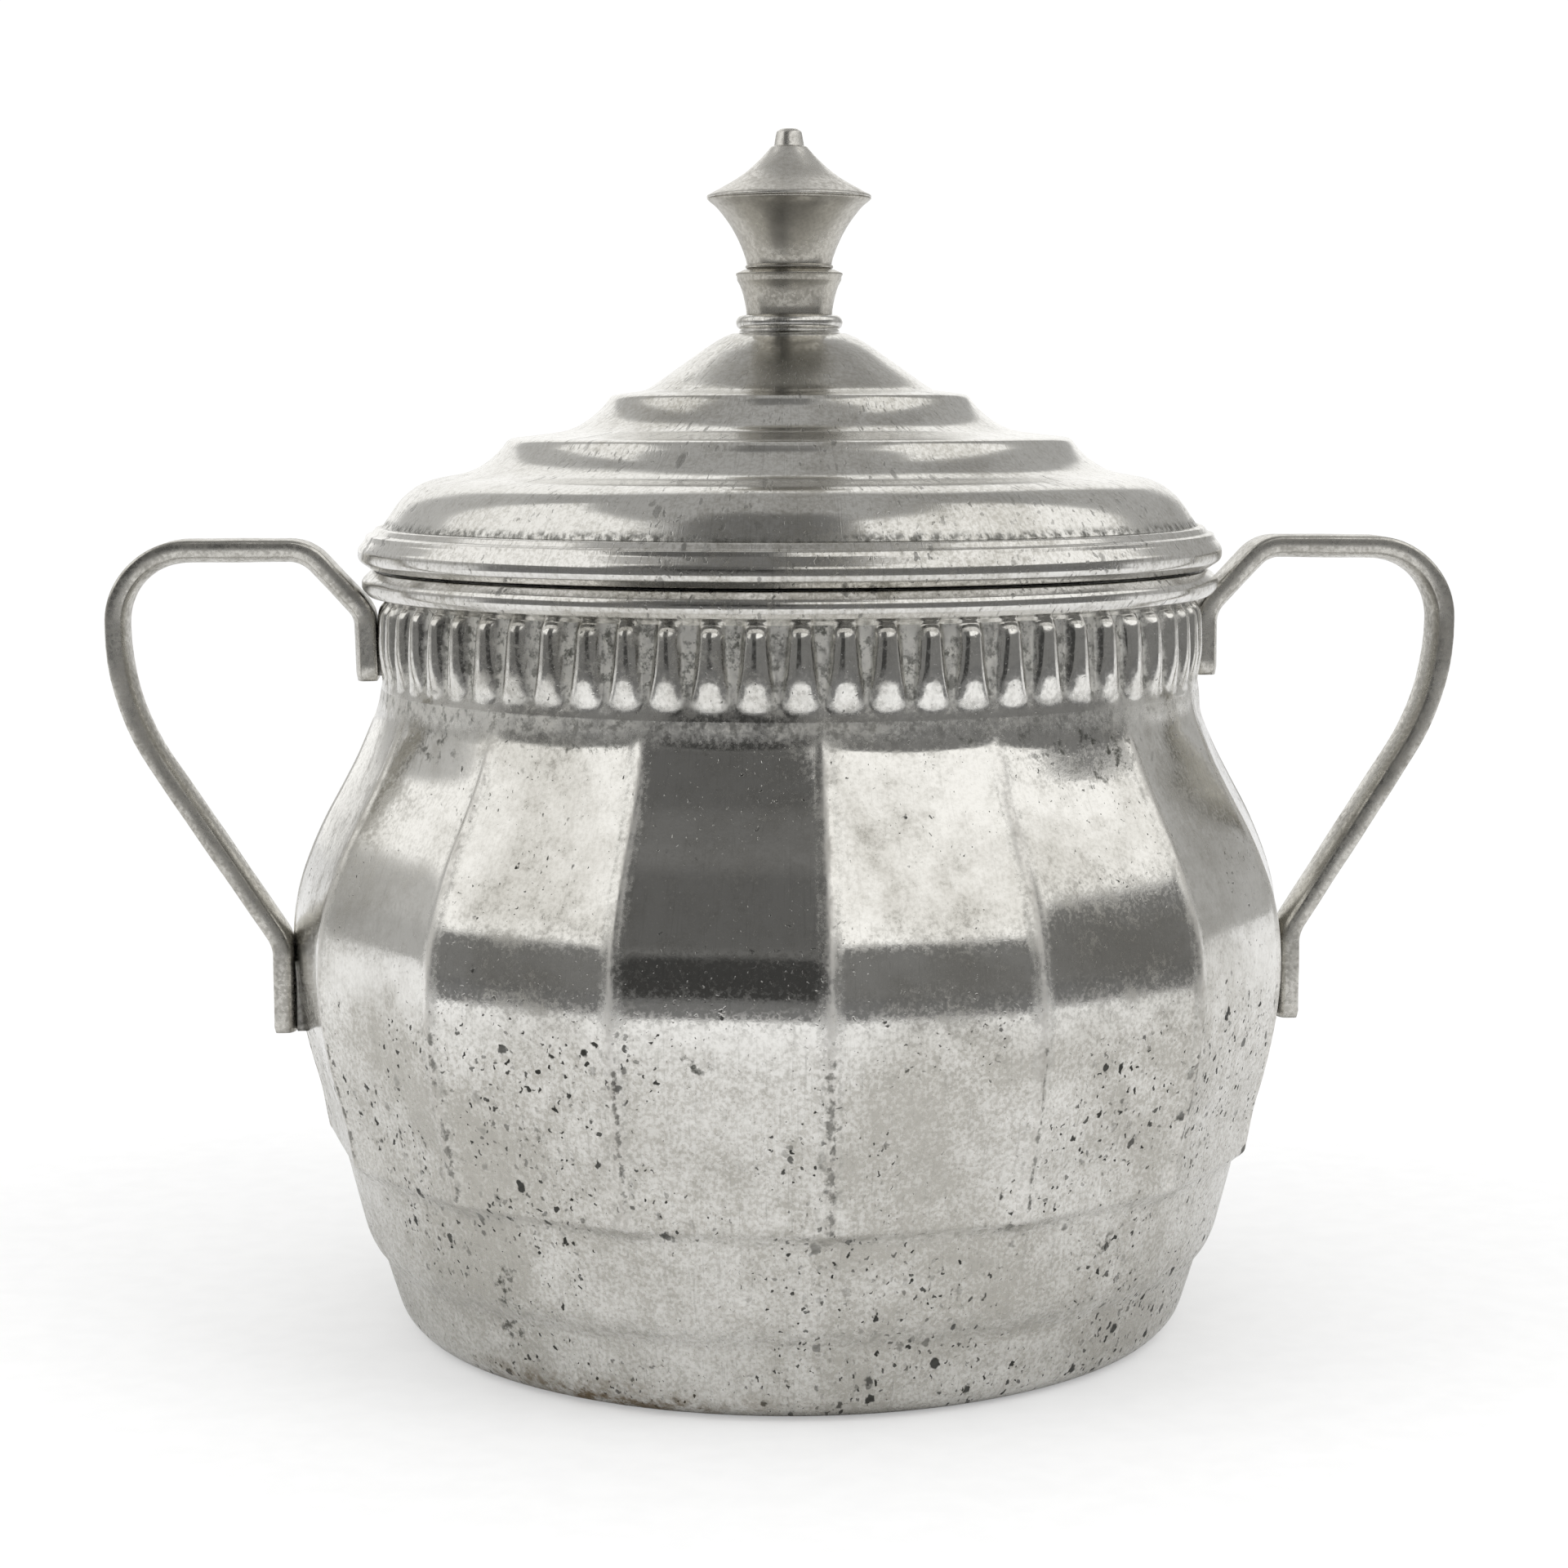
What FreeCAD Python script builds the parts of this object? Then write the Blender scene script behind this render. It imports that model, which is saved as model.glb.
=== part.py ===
"""Covered sugar bowl with two strip handles and a lift-off lid.

The bowl stands on z = 0 with its axis on Z, and its two handles lie along X.
Lengths are millimetres, and every driving size is a cell of the sheet.
"""
import FreeCAD
import Part
import Sketcher
import math
import os

SIZES = (
    ("Belly", (
        ("panel_count", 16, "flat panels round the belly, a ridge facing each handle"),
        ("wall", 1.0, "thickness of the sheet metal"),
        ("belly_foot", 21.0, "height where the panels start above the plain base"),
        ("belly_top", 71.0, "height where the panels end under the gadroons"),
        ("widest_height", 41.5, "height of the widest place"),
        ("widest_radius", 55.5, "radius over the ridges at the widest place"),
    )),
    ("Plain base", (
        ("foot_radius", 41.6, "radius of the ring that the bowl stands on"),
        ("foot_edge_radius", 44.1, "radius above the rounded bottom edge"),
        ("foot_edge_height", 2.3, "height of the rounded bottom edge"),
        ("lower_step_height", 8.6, "height of the lower step in the base"),
        ("lower_step_radius", 46.2, "radius just under the lower step"),
        ("step_depth", 0.7, "how far each step stands out"),
        ("upper_step_radius", 50.1, "radius of the base where the panels start"),
        ("base_disc_radius", 41.0, "radius of the recessed bottom disc"),
        ("base_recess", 1.5, "height of the disc's underside above the table"),
    )),
    ("Neck and gadroons", (
        ("neck_radius", 44.1, "outer radius of the upright neck"),
        ("gadroon_count", 64, "lobes round the neck, four to a panel"),
        ("gadroon_radius", 1.65, "radius of one rounded lobe"),
        ("gadroon_crest", 45.0, "radius over the lobes"),
        ("gadroon_tip", 71.4, "height of the rounded lower tips"),
        ("gadroon_top", 79.9, "height of the upper ends"),
    )),
    ("Rims", (
        ("mouth_height", 83.9, "height of the bowl's mouth"),
        ("bowl_bead_radius", 47.2, "radius over the bead at the mouth"),
        ("bowl_bead_foot", 80.8, "height of the underside of that bead"),
        ("seam", 0.15, "gap between the mouth and the closed lid"),
        ("lid_bead_radius", 47.55, "radius over the bead of the lid"),
        ("lid_bead_height", 3.65, "height of the bead of the lid"),
        ("bezel_radius", 42.8, "outer radius of the ring that centres the lid"),
        ("bezel_depth", 4.6, "how deep that ring reaches into the neck"),
    )),
    ("Lid", (
        ("skirt_radius", 45.0, "outer radius of the upright edge of the lid"),
        ("dome_foot_height", 88.7, "height where the dome starts above the bead"),
        ("shoulder_radius", 38.6, "radius where the dome's round shoulder ends"),
        ("shoulder_height", 93.2, "height of that place"),
        ("shoulder_bend", 8.6, "radius of the shoulder's section"),
        ("first_terrace_radius", 30.6, "radius of the edge of the first terrace"),
        ("first_terrace_height", 97.55, "height of that edge"),
        ("first_rise_bend", 14.0, "radius of the hollow that rises to it"),
        ("first_tread_radius", 25.4, "radius of the inner end of its tread"),
        ("first_tread_height", 98.5, "height of that place"),
        ("second_terrace_radius", 19.6, "radius of the edge of the second terrace"),
        ("second_terrace_height", 102.55, "height of that edge"),
        ("second_rise_bend", 16.0, "radius of the hollow that rises to it"),
        ("second_tread_radius", 16.2, "radius of the inner end of its tread"),
        ("second_tread_height", 103.3, "height of that place"),
        ("crown_foot_radius", 12.4, "radius where the small top dome starts"),
        ("crown_foot_height", 105.4, "height of that place"),
        ("crown_foot_bend", 12.0, "radius of the hollow under the top dome"),
        ("crown_bend", 22.0, "radius of the top dome's section"),
        ("crown_radius", 6.2, "radius of the flat crown under the finial"),
        ("crown_height", 109.6, "height of that crown"),
    )),
    ("Finial", (
        ("collar_radius", 5.87, "radius over the round collar"),
        ("collar_height", 1.5, "height of the collar"),
        ("spool_top", 116.4, "height of the top of the spool"),
        ("spool_flange_radius", 5.9, "radius of the flange of the spool"),
        ("waist_radius", 4.7, "radius of both waists"),
        ("cup_radius", 9.05, "radius of the brim of the cup and its cap"),
        ("cup_top", 124.1, "height of that brim"),
        ("cap_edge", 0.4, "thickness of the edge of the cap"),
        ("nipple_height", 131.6, "height of the tip"),
        ("nipple_radius", 1.6, "radius of the little knob at the tip"),
        ("stud_radius", 1.5, "radius of the threaded stud"),
        ("stud_foot", 104.6, "height of the stud's end inside the lid"),
        ("stud_top", 121.0, "height of the stud's end inside the cup"),
        ("washer_radius", 4.3, "radius of the washer"),
        ("washer_thickness", 0.8, "thickness of the washer"),
        ("nut_flats", 6.5, "width of the nut across its flats"),
        ("nut_thickness", 2.2, "thickness of the nut"),
    )),
    ("Handles", (
        ("handle_width", 5.8, "width of the strip"),
        ("handle_thickness", 2.5, "thickness of the strip over its crown"),
        ("handle_crown", 1.05, "height of the crowned outer face"),
        ("handle_reach", 75.0, "distance from the axis to the outside of a handle"),
        ("handle_top", 87.1, "height of the top of a handle"),
        ("upper_foot_centre", 46.7, "distance of the upper foot from the axis"),
        ("upper_foot_end", 71.6, "height of the end of the upper foot"),
        ("upper_foot_bend", 79.2, "height of the bend above it"),
        ("grip_start", 52.9, "distance of the inner end of the level stretch"),
        ("outer_bend", 69.4, "height of the bend where the side turns inward"),
        ("lower_foot_centre", 56.3, "distance of the lower foot from the axis"),
        ("lower_foot_bend", 42.5, "height of the bend above it"),
        ("lower_foot_end", 32.5, "height of the end of the lower foot"),
        ("tight_bend_radius", 2.1, "radius of the two bends by the neck"),
        ("corner_radius", 7.2, "radius of the upper outer corner"),
        ("side_radius", 30.0, "radius of the long bend in the side"),
        ("foot_bend_radius", 5.0, "radius of the bend above the lower foot"),
    )),
)

# Heights and ridge radii of the belly between its foot and its top, as shares:
# of the rise from foot to widest place, and of the radius there.
BELLY_SHARES = (
    (0.00, 0.930), (0.30, 0.954), (0.62, 0.982), (1.00, 1.000),
    (1.34, 0.985), (1.69, 0.939), (2.03, 0.869), (2.32, 0.828), (2.439, 0.818),
)

doc = FreeCAD.newDocument("SugarBowl")


class Dim:
    """A size: its number now, and the expression that keeps it tied to the sheet."""

    def __init__(self, number, text):
        self.number = number
        self.text = text

    def __add__(self, other):
        other = dim(other)
        return Dim(self.number + other.number, f"({self.text} + {other.text})")

    def __sub__(self, other):
        other = dim(other)
        return Dim(self.number - other.number, f"({self.text} - {other.text})")

    def __mul__(self, other):
        other = dim(other)
        return Dim(self.number * other.number, f"({self.text} * {other.text})")

    def __truediv__(self, other):
        other = dim(other)
        return Dim(self.number / other.number, f"({self.text} / {other.text})")


def dim(value):
    """Any plain number as a size."""
    if isinstance(value, Dim):
        return value
    return Dim(float(value), f"{float(value)}")


def fill_sheet():
    """Write the sizes into a spreadsheet and return them by name."""
    sheet = doc.addObject("Spreadsheet::Sheet", "Sizes")
    sizes = {}
    row = 1
    for heading, entries in SIZES:
        sheet.set(f"A{row}", heading)
        row += 1
        for name, number, note in entries:
            sheet.set(f"A{row}", name)
            sheet.set(f"B{row}", str(number))
            sheet.set(f"C{row}", note)
            sheet.setAlias(f"B{row}", name)
            sizes[name] = Dim(float(number), f"Sizes.{name}")
            row += 1
    doc.recompute()
    return sizes


size = fill_sheet()
ZERO = dim(0)


# ---------------------------------------------------------------- sketches

def new_body(label):
    body = doc.addObject("PartDesign::Body", label)
    body.Label = label
    return body


def origin_feature(body, role):
    """One of the body's own origin planes or axes."""
    return next(item for item in body.Origin.OriginFeatures if item.Role == role)


def new_sketch(body, name, plane, offset=None):
    """A sketch on an origin plane of the body, lifted off it by a size."""
    sketch = body.newObject("Sketcher::SketchObject", name)
    sketch.AttachmentSupport = (origin_feature(body, plane), "")
    sketch.MapMode = "FlatFace"
    if offset is not None:
        sketch.setExpression("AttachmentOffset.Base.z", offset.text)
    return sketch


def constrain(sketch, kind, *where, value):
    """Add a dimension whose number follows the sheet."""
    index = sketch.addConstraint(Sketcher.Constraint(kind, *where, value.number))
    sketch.setExpression(f"Constraints[{index}]", value.text)


def pin(sketch, curve, end, place):
    """Hold one end of a curve at a place given by two sizes."""
    for kind, axis, value in (("DistanceX", -2, place[0]), ("DistanceY", -1, place[1])):
        if value.number == 0:
            sketch.addConstraint(Sketcher.Constraint("PointOnObject", curve, end, axis))
        else:
            constrain(sketch, kind, -1, 1, curve, end, value=value)


def arc_between(start, end, radius):
    """The short arc between two places; a positive radius turns left."""
    chord = end - start
    half = chord.Length / 2
    rise = math.sqrt(radius * radius - half * half)
    left = FreeCAD.Vector(-chord.y, chord.x, 0).normalize()
    turn = 1 if radius > 0 else -1
    centre = (start + end) / 2 + left * rise * turn
    middle = centre - left * abs(radius) * turn
    return Part.Arc(start, middle, end)


def draw_outline(sketch, corners):
    """Draw a closed outline of lines and arcs.

    A corner is (x, y), or (x, y, radius) when an arc of that radius leads to it.
    """
    places = [(dim(corner[0]), dim(corner[1])) for corner in corners]
    points = [FreeCAD.Vector(x.number, y.number, 0) for x, y in places]
    ends = []
    for index in range(len(corners)):
        after = (index + 1) % len(corners)
        if len(corners[after]) == 3:
            radius = dim(corners[after][2])
            curve = sketch.addGeometry(arc_between(points[index], points[after], radius.number))
            ends.append((curve, 1, 2) if radius.number > 0 else (curve, 2, 1))
            size_now = Dim(abs(radius.number), f"abs({radius.text})")
            constrain(sketch, "Radius", curve, value=size_now)
        else:
            curve = sketch.addGeometry(Part.LineSegment(points[index], points[after]))
            ends.append((curve, 1, 2))
    for index, (curve, start, end) in enumerate(ends):
        following, next_start, _ = ends[(index + 1) % len(ends)]
        sketch.addConstraint(Sketcher.Constraint("Coincident", curve, end, following, next_start))
        pin(sketch, curve, start, places[index])


def turned(label, corners):
    """A piece turned about Z from a closed outline of radii and heights."""
    body = new_body(label)
    sketch = new_sketch(body, f"{label}_outline", "XZ_Plane")
    draw_outline(sketch, corners)
    revolution = body.newObject("PartDesign::Revolution", f"{label}_turning")
    revolution.Profile = sketch
    revolution.ReferenceAxis = (sketch, ["V_Axis"])
    revolution.Angle = 360
    sketch.Visibility = False
    return body


def boolean(kind, label, shapes):
    """A Part boolean: Cut takes two shapes, MultiFuse any number."""
    result = doc.addObject(f"Part::{kind}", label)
    result.Label = label
    if kind == "Cut":
        result.Base, result.Tool = shapes
    else:
        result.Shapes = shapes
    return result


# ---------------------------------------------------------------- bowl body

def belly(label, inset):
    """The panelled belly as one solid, a loft through polygons set in by a wall."""
    rise = size["widest_height"] - size["belly_foot"]
    rings = []
    for number, (height_share, radius_share) in enumerate(BELLY_SHARES):
        ring = doc.addObject("Part::RegularPolygon", f"{label}_ring_{number}")
        ring.setExpression("Polygon", size["panel_count"].text)
        ring.setExpression("Circumradius", (size["widest_radius"] * radius_share - inset).text)
        ring.setExpression("Placement.Base.z", (size["belly_foot"] + rise * height_share).text)
        rings.append(ring)
    loft = doc.addObject("Part::Loft", label)
    loft.Sections = rings
    loft.Solid = True
    loft.Ruled = False
    return loft


def base_outline(inset):
    """Outer radii and heights of the plain base, set in by a wall."""
    step = size["step_depth"]
    return [
        (size["foot_edge_radius"] - inset, size["foot_edge_height"]),
        (size["lower_step_radius"] - inset, size["lower_step_height"]),
        (size["lower_step_radius"] + step - inset, size["lower_step_height"] + step * 2),
        (size["upper_step_radius"] - inset, size["belly_foot"] - step),
        (size["upper_step_radius"] + step * 0.5 - inset, size["belly_foot"] + 0.05),
    ]


def gadrooned_neck():
    """The upright neck with its ring of rounded lobes."""
    neck = turned("neck_core", [
        (ZERO, size["belly_top"] - 1),
        (size["neck_radius"], size["belly_top"] - 1),
        (size["neck_radius"], size["mouth_height"]),
        (ZERO, size["mouth_height"]),
    ])
    lobe_centre = size["gadroon_crest"] - size["gadroon_radius"]
    tip_centre = size["gadroon_tip"] + size["gadroon_radius"]
    sketch = new_sketch(neck, "lobe_outline", "XZ_Plane")
    draw_outline(sketch, [
        (lobe_centre, size["gadroon_tip"]),
        (size["gadroon_crest"], tip_centre, size["gadroon_radius"]),
        (size["gadroon_crest"], size["gadroon_top"]),
        (lobe_centre, size["gadroon_top"]),
    ])
    spindle = Part.LineSegment(
        FreeCAD.Vector(lobe_centre.number, size["gadroon_tip"].number, 0),
        FreeCAD.Vector(lobe_centre.number, size["gadroon_top"].number, 0))
    axis = sketch.addGeometry(spindle, True)
    pin(sketch, axis, 1, (lobe_centre, size["gadroon_tip"]))
    pin(sketch, axis, 2, (lobe_centre, size["gadroon_top"]))
    lobe = neck.newObject("PartDesign::Revolution", "lobe")
    lobe.Profile = sketch
    lobe.ReferenceAxis = (sketch, ["Axis0"])
    lobe.Angle = 360
    ring = neck.newObject("PartDesign::PolarPattern", "lobe_ring")
    ring.Originals = [lobe]
    ring.Axis = (origin_feature(neck, "Z_Axis"), [""])
    ring.Angle = 360
    ring.setExpression("Occurrences", size["gadroon_count"].text)
    neck.Tip = ring
    # Half a pitch of turn puts the gaps between lobes over the ridges.
    neck.setExpression("Placement.Rotation.Angle", f"180 / {size['gadroon_count'].text}")
    return neck


def bowl_outside():
    """The filled outer form of the bowl."""
    edge = size["foot_edge_radius"] - size["foot_radius"]
    base = turned("base_outside", [
        (ZERO, ZERO),
        (size["foot_radius"], ZERO),
        (size["foot_edge_radius"], size["foot_edge_height"], edge * 1.1),
        *base_outline(ZERO)[1:],
        (ZERO, size["belly_foot"] + 0.05),
    ])
    return boolean("MultiFuse", "bowl_outside",
                   [base, belly("belly_outside", ZERO), gadrooned_neck()])


def bowl_inside():
    """The hollow of the bowl, from the bottom disc up through the mouth."""
    wall = size["wall"]
    floor = size["base_recess"] + wall
    base = turned("base_inside", [
        (ZERO, dim(-1)),
        (size["base_disc_radius"], dim(-1)),
        (size["base_disc_radius"], floor),
        (size["foot_edge_radius"] - wall, floor),
        *base_outline(wall)[1:],
        (ZERO, size["belly_foot"] + 0.05),
    ])
    neck = turned("neck_inside", [
        (ZERO, size["belly_top"] - 4),
        (size["neck_radius"] - wall, size["belly_top"] - 4),
        (size["neck_radius"] - wall, size["mouth_height"] + 1),
        (ZERO, size["mouth_height"] + 1),
    ])
    return boolean("MultiFuse", "bowl_inside", [base, belly("belly_inside", wall), neck])


def base_disc():
    """The recessed bottom, a disc let into the foot ring."""
    disc = doc.addObject("Part::Cylinder", "base_disc")
    disc.setExpression("Radius", size["base_disc_radius"].text)
    disc.setExpression("Height", size["wall"].text)
    disc.setExpression("Placement.Base.z", size["base_recess"].text)
    return disc


def body_rim_moulding():
    """The half-round bead outside the mouth."""
    foot = size["bowl_bead_foot"]
    top = size["mouth_height"]
    return turned("body_rim_moulding", [
        (size["neck_radius"], foot - 0.7),
        (size["neck_radius"] + 1.3, foot),
        (size["bowl_bead_radius"], (foot + top) / 2, (top - foot) * 0.62),
        (size["neck_radius"] + 1.9, top, (top - foot) * 0.62),
        (size["neck_radius"], top),
    ])


# ---------------------------------------------------------------- handles

def draw_path(sketch, corners):
    """Draw straight runs joined by tangent arcs.

    A corner is (x, y, radius), and the two ends are (x, y).
    """
    places = [(dim(corner[0]), dim(corner[1])) for corner in corners]
    points = [FreeCAD.Vector(x.number, y.number, 0) for x, y in places]
    start = points[0]
    pieces = []
    for index in range(1, len(points) - 1):
        back = (points[index - 1] - points[index]).normalize()
        ahead = (points[index + 1] - points[index]).normalize()
        turn = math.pi - back.getAngle(ahead)
        radius = corners[index][2]
        reach = radius.number * math.tan(turn / 2)
        first = points[index] + back * reach
        last = points[index] + ahead * reach
        bisector = (back + ahead).normalize()
        middle = points[index] + bisector * radius.number * (1 / math.cos(turn / 2) - 1)
        pieces.append((sketch.addGeometry(Part.LineSegment(start, first)), 1, 2))
        left_turn = back.cross(ahead).z < 0
        arc = sketch.addGeometry(Part.Arc(first, middle, last))
        pieces.append((arc, 1, 2) if left_turn else (arc, 2, 1))
        constrain(sketch, "Radius", arc, value=radius)
        start = last
    pieces.append((sketch.addGeometry(Part.LineSegment(start, points[-1])), 1, 2))
    for (curve, _, end), (following, begin, _) in zip(pieces, pieces[1:]):
        sketch.addConstraint(Sketcher.Constraint("Tangent", curve, end, following, begin))
    pin(sketch, pieces[0][0], 1, places[0])
    pin(sketch, pieces[-1][0], 2, places[-1])
    for index in range(1, len(points) - 1):
        corner = sketch.addGeometry(Part.Point(points[index]), True)
        pin(sketch, corner, 1, places[index])
        for run in (pieces[2 * index - 2][0], pieces[2 * index][0]):
            sketch.addConstraint(Sketcher.Constraint("PointOnObject", corner, 1, run))
    return len(pieces)


def handle_strip(name, side):
    """One bent handle strip of D section; side is -1 for left and 1 for right."""
    half = size["handle_thickness"] / 2
    reach = size["handle_reach"] - half
    level = size["handle_top"] - half
    tight = size["tight_bend_radius"]
    strip = new_body(name)
    path = new_sketch(strip, f"{name}_path", "XZ_Plane")
    runs = draw_path(path, [
        (size["upper_foot_centre"] * side, size["upper_foot_end"]),
        (size["upper_foot_centre"] * side, size["upper_foot_bend"], tight),
        (size["grip_start"] * side, level, tight),
        (reach * side, level, size["corner_radius"]),
        (reach * side, size["outer_bend"], size["side_radius"]),
        (size["lower_foot_centre"] * side, size["lower_foot_bend"], size["foot_bend_radius"]),
        (size["lower_foot_centre"] * side, size["lower_foot_end"]),
    ])
    section = new_sketch(strip, f"{name}_section", "XY_Plane", size["upper_foot_end"])
    inner = (size["upper_foot_centre"] - half) * side
    edge = (size["upper_foot_centre"] + half - size["handle_crown"]) * side
    span = size["handle_width"] / 2
    crown = size["handle_crown"]
    crown_radius = (span * span + crown * crown) / (crown * 2)
    draw_outline(section, [
        (inner, span * -1),
        (edge, span * -1),
        (edge, span, crown_radius * side),
        (inner, span),
    ])
    pipe = strip.newObject("PartDesign::AdditivePipe", f"{name}_sweep")
    pipe.Profile = section
    pipe.Spine = (path, [f"Edge{number + 1}" for number in range(runs)])
    pipe.Mode = "Standard"
    return strip


def box(label, corner, lengths):
    """A block from its lowest corner and its three lengths."""
    block = doc.addObject("Part::Box", label)
    for axis, value in zip("xyz", corner):
        block.setExpression(f"Placement.Base.{axis}", dim(value).text)
    for side, value in zip(("Length", "Width", "Height"), lengths):
        block.setExpression(side, dim(value).text)
    return block


def solder_block(name, side, inner, outer, foot, top):
    """A block of solder between a handle's foot and the bowl."""
    width = size["handle_width"] - 0.8
    low = inner if side > 0 else outer * -1
    return box(name, (low, width / -2, foot), (outer - inner, width, top - foot))


def handle_solder(name, side, strip, outside):
    """The solder that fills the gap behind both feet of a handle."""
    half = size["handle_thickness"] / 2
    upper_face = size["upper_foot_centre"] - half
    lower_face = size["lower_foot_centre"] - half
    upper = solder_block(f"{name}_upper", side, size["neck_radius"] - 0.2, upper_face,
                         size["upper_foot_end"] + 0.8, size["upper_foot_bend"] - 1.5)
    lower = solder_block(f"{name}_lower", side, lower_face - 4, lower_face,
                         size["lower_foot_end"] + 0.3, size["lower_foot_bend"] - 2.6)
    blocks = boolean("MultiFuse", f"{name}_blocks", [upper, lower])
    beside = boolean("Cut", f"{name}_beside_strip", (blocks, strip))
    return boolean("Cut", name, (beside, outside))


# ---------------------------------------------------------------- lid

def lid_outline(inset):
    """Radii and heights of the lid's dome from its shoulder to its crown."""
    return [
        (size["skirt_radius"] - inset, size["dome_foot_height"] - inset * 0.3),
        (size["shoulder_radius"] - inset * 0.5, size["shoulder_height"] - inset,
         size["shoulder_bend"] - inset),
        (size["first_terrace_radius"] - inset * 0.3, size["first_terrace_height"] - inset,
         size["first_rise_bend"] * -1),
        (size["first_tread_radius"] - inset * 0.2, size["first_tread_height"] - inset),
        (size["second_terrace_radius"] - inset * 0.3, size["second_terrace_height"] - inset,
         size["second_rise_bend"] * -1),
        (size["second_tread_radius"] - inset * 0.2, size["second_tread_height"] - inset),
        (size["crown_foot_radius"] - inset * 0.6, size["crown_foot_height"] - inset * 0.8,
         size["crown_foot_bend"] * -1),
        (size["crown_radius"], size["crown_height"] - inset, size["crown_bend"]),
    ]


def lid_shell():
    """The spun dome of the lid, with three terraces and a hole for the stud."""
    bottom = size["mouth_height"] + size["seam"]
    wall = size["wall"]
    outer = lid_outline(ZERO)
    inner = lid_outline(wall)
    # The way back inside runs the other way, so its arcs turn the other way.
    back = []
    for index in range(len(inner) - 1, -1, -1):
        radius = inner[index + 1][2] if index + 1 < len(inner) and len(inner[index + 1]) == 3 else None
        place = inner[index][:2]
        back.append((*place, radius * -1) if radius is not None else place)
    return turned("lid_shell", [
        (size["skirt_radius"], bottom),
        *outer,
        (size["stud_radius"], size["crown_height"]),
        (size["stud_radius"], size["crown_height"] - wall),
        *back,
        (size["skirt_radius"] - wall, bottom),
    ])


def lid_rim_moulding():
    """The bead round the edge of the lid, with a small cove above it."""
    bottom = size["mouth_height"] + size["seam"]
    rise = size["lid_bead_height"]
    return turned("lid_rim_moulding", [
        (size["skirt_radius"], bottom),
        (size["skirt_radius"] + 1.2, bottom),
        (size["lid_bead_radius"], bottom + rise * 0.42, rise * 0.6),
        (size["lid_bead_radius"] - 0.9, bottom + rise, rise * 0.75),
        (size["skirt_radius"], bottom + rise + 0.9, dim(-3)),
    ])


def lid_bezel():
    """The ring under the lid that drops into the neck, with its soldering flange."""
    bottom = size["mouth_height"] + size["seam"]
    bore = size["bezel_radius"] - size["wall"] * 0.8
    return turned("lid_bezel", [
        (bore, bottom - size["bezel_depth"]),
        (size["bezel_radius"], bottom - size["bezel_depth"]),
        (size["bezel_radius"], bottom),
        (size["skirt_radius"] - size["wall"], bottom),
        (size["skirt_radius"] - size["wall"], bottom + size["wall"]),
        (bore, bottom + size["wall"]),
    ])


# ---------------------------------------------------------------- finial

def finial_collar():
    """The round ring between the lid and the finial."""
    foot = size["crown_height"]
    rise = size["collar_height"]
    neck = size["waist_radius"] + 0.4
    return turned("finial_collar", [
        (size["stud_radius"], foot),
        (neck, foot),
        (size["collar_radius"], foot + rise / 2, rise * 0.58),
        (neck, foot + rise, rise * 0.58),
        (size["stud_radius"], foot + rise),
    ])


def finial_spool():
    """The flared spool that stands on the collar."""
    foot = size["crown_height"] + size["collar_height"]
    top = size["spool_top"]
    return turned("finial_spool", [
        (size["stud_radius"], foot),
        (size["waist_radius"] + 0.1, foot),
        (size["spool_flange_radius"] - 0.15, top - 1.3, dim(-14)),
        (size["spool_flange_radius"], top - 0.8),
        (size["waist_radius"] + 0.4, top),
        (size["stud_radius"], top),
    ])


def finial_cup():
    """The trumpet-shaped cup with a blind hole for the stud."""
    return turned("finial_cup", [
        (size["stud_radius"], size["spool_top"]),
        (size["waist_radius"], size["spool_top"]),
        (size["waist_radius"] + 0.1, size["spool_top"] + 0.9),
        (size["cup_radius"], size["cup_top"], dim(-11)),
        (ZERO, size["cup_top"]),
        (ZERO, size["stud_top"]),
        (size["stud_radius"], size["stud_top"]),
    ])


def finial_cap():
    """The pointed lid-like cap of the finial, with its little knob."""
    foot = size["cup_top"]
    knob = size["nipple_radius"]
    tip = size["nipple_height"]
    rim = knob - 0.2
    drop = dim(0.6)
    # The tip is part of a ball whose centre lies on the axis.
    tip_bend = (rim * rim + drop * drop) / (drop * 2)
    return turned("finial_cap", [
        (ZERO, foot),
        (size["cup_radius"], foot),
        (size["cup_radius"], foot + size["cap_edge"]),
        (knob + 0.35, tip - 2.0, dim(-15)),
        (knob, tip - 1.8),
        (rim, tip - drop),
        (ZERO, tip, tip_bend),
    ])


def finial_stud():
    """The threaded stud that holds the finial."""
    stud = doc.addObject("Part::Cylinder", "finial_stud")
    stud.setExpression("Radius", size["stud_radius"].text)
    stud.setExpression("Height", (size["stud_top"] - size["stud_foot"]).text)
    stud.setExpression("Placement.Base.z", size["stud_foot"].text)
    return stud


def finial_washer():
    """The washer between the nut and the inside of the lid."""
    top = size["crown_height"] - size["wall"]
    return turned("finial_washer", [
        (size["stud_radius"], top - size["washer_thickness"]),
        (size["washer_radius"], top - size["washer_thickness"]),
        (size["washer_radius"], top),
        (size["stud_radius"], top),
    ])


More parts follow.
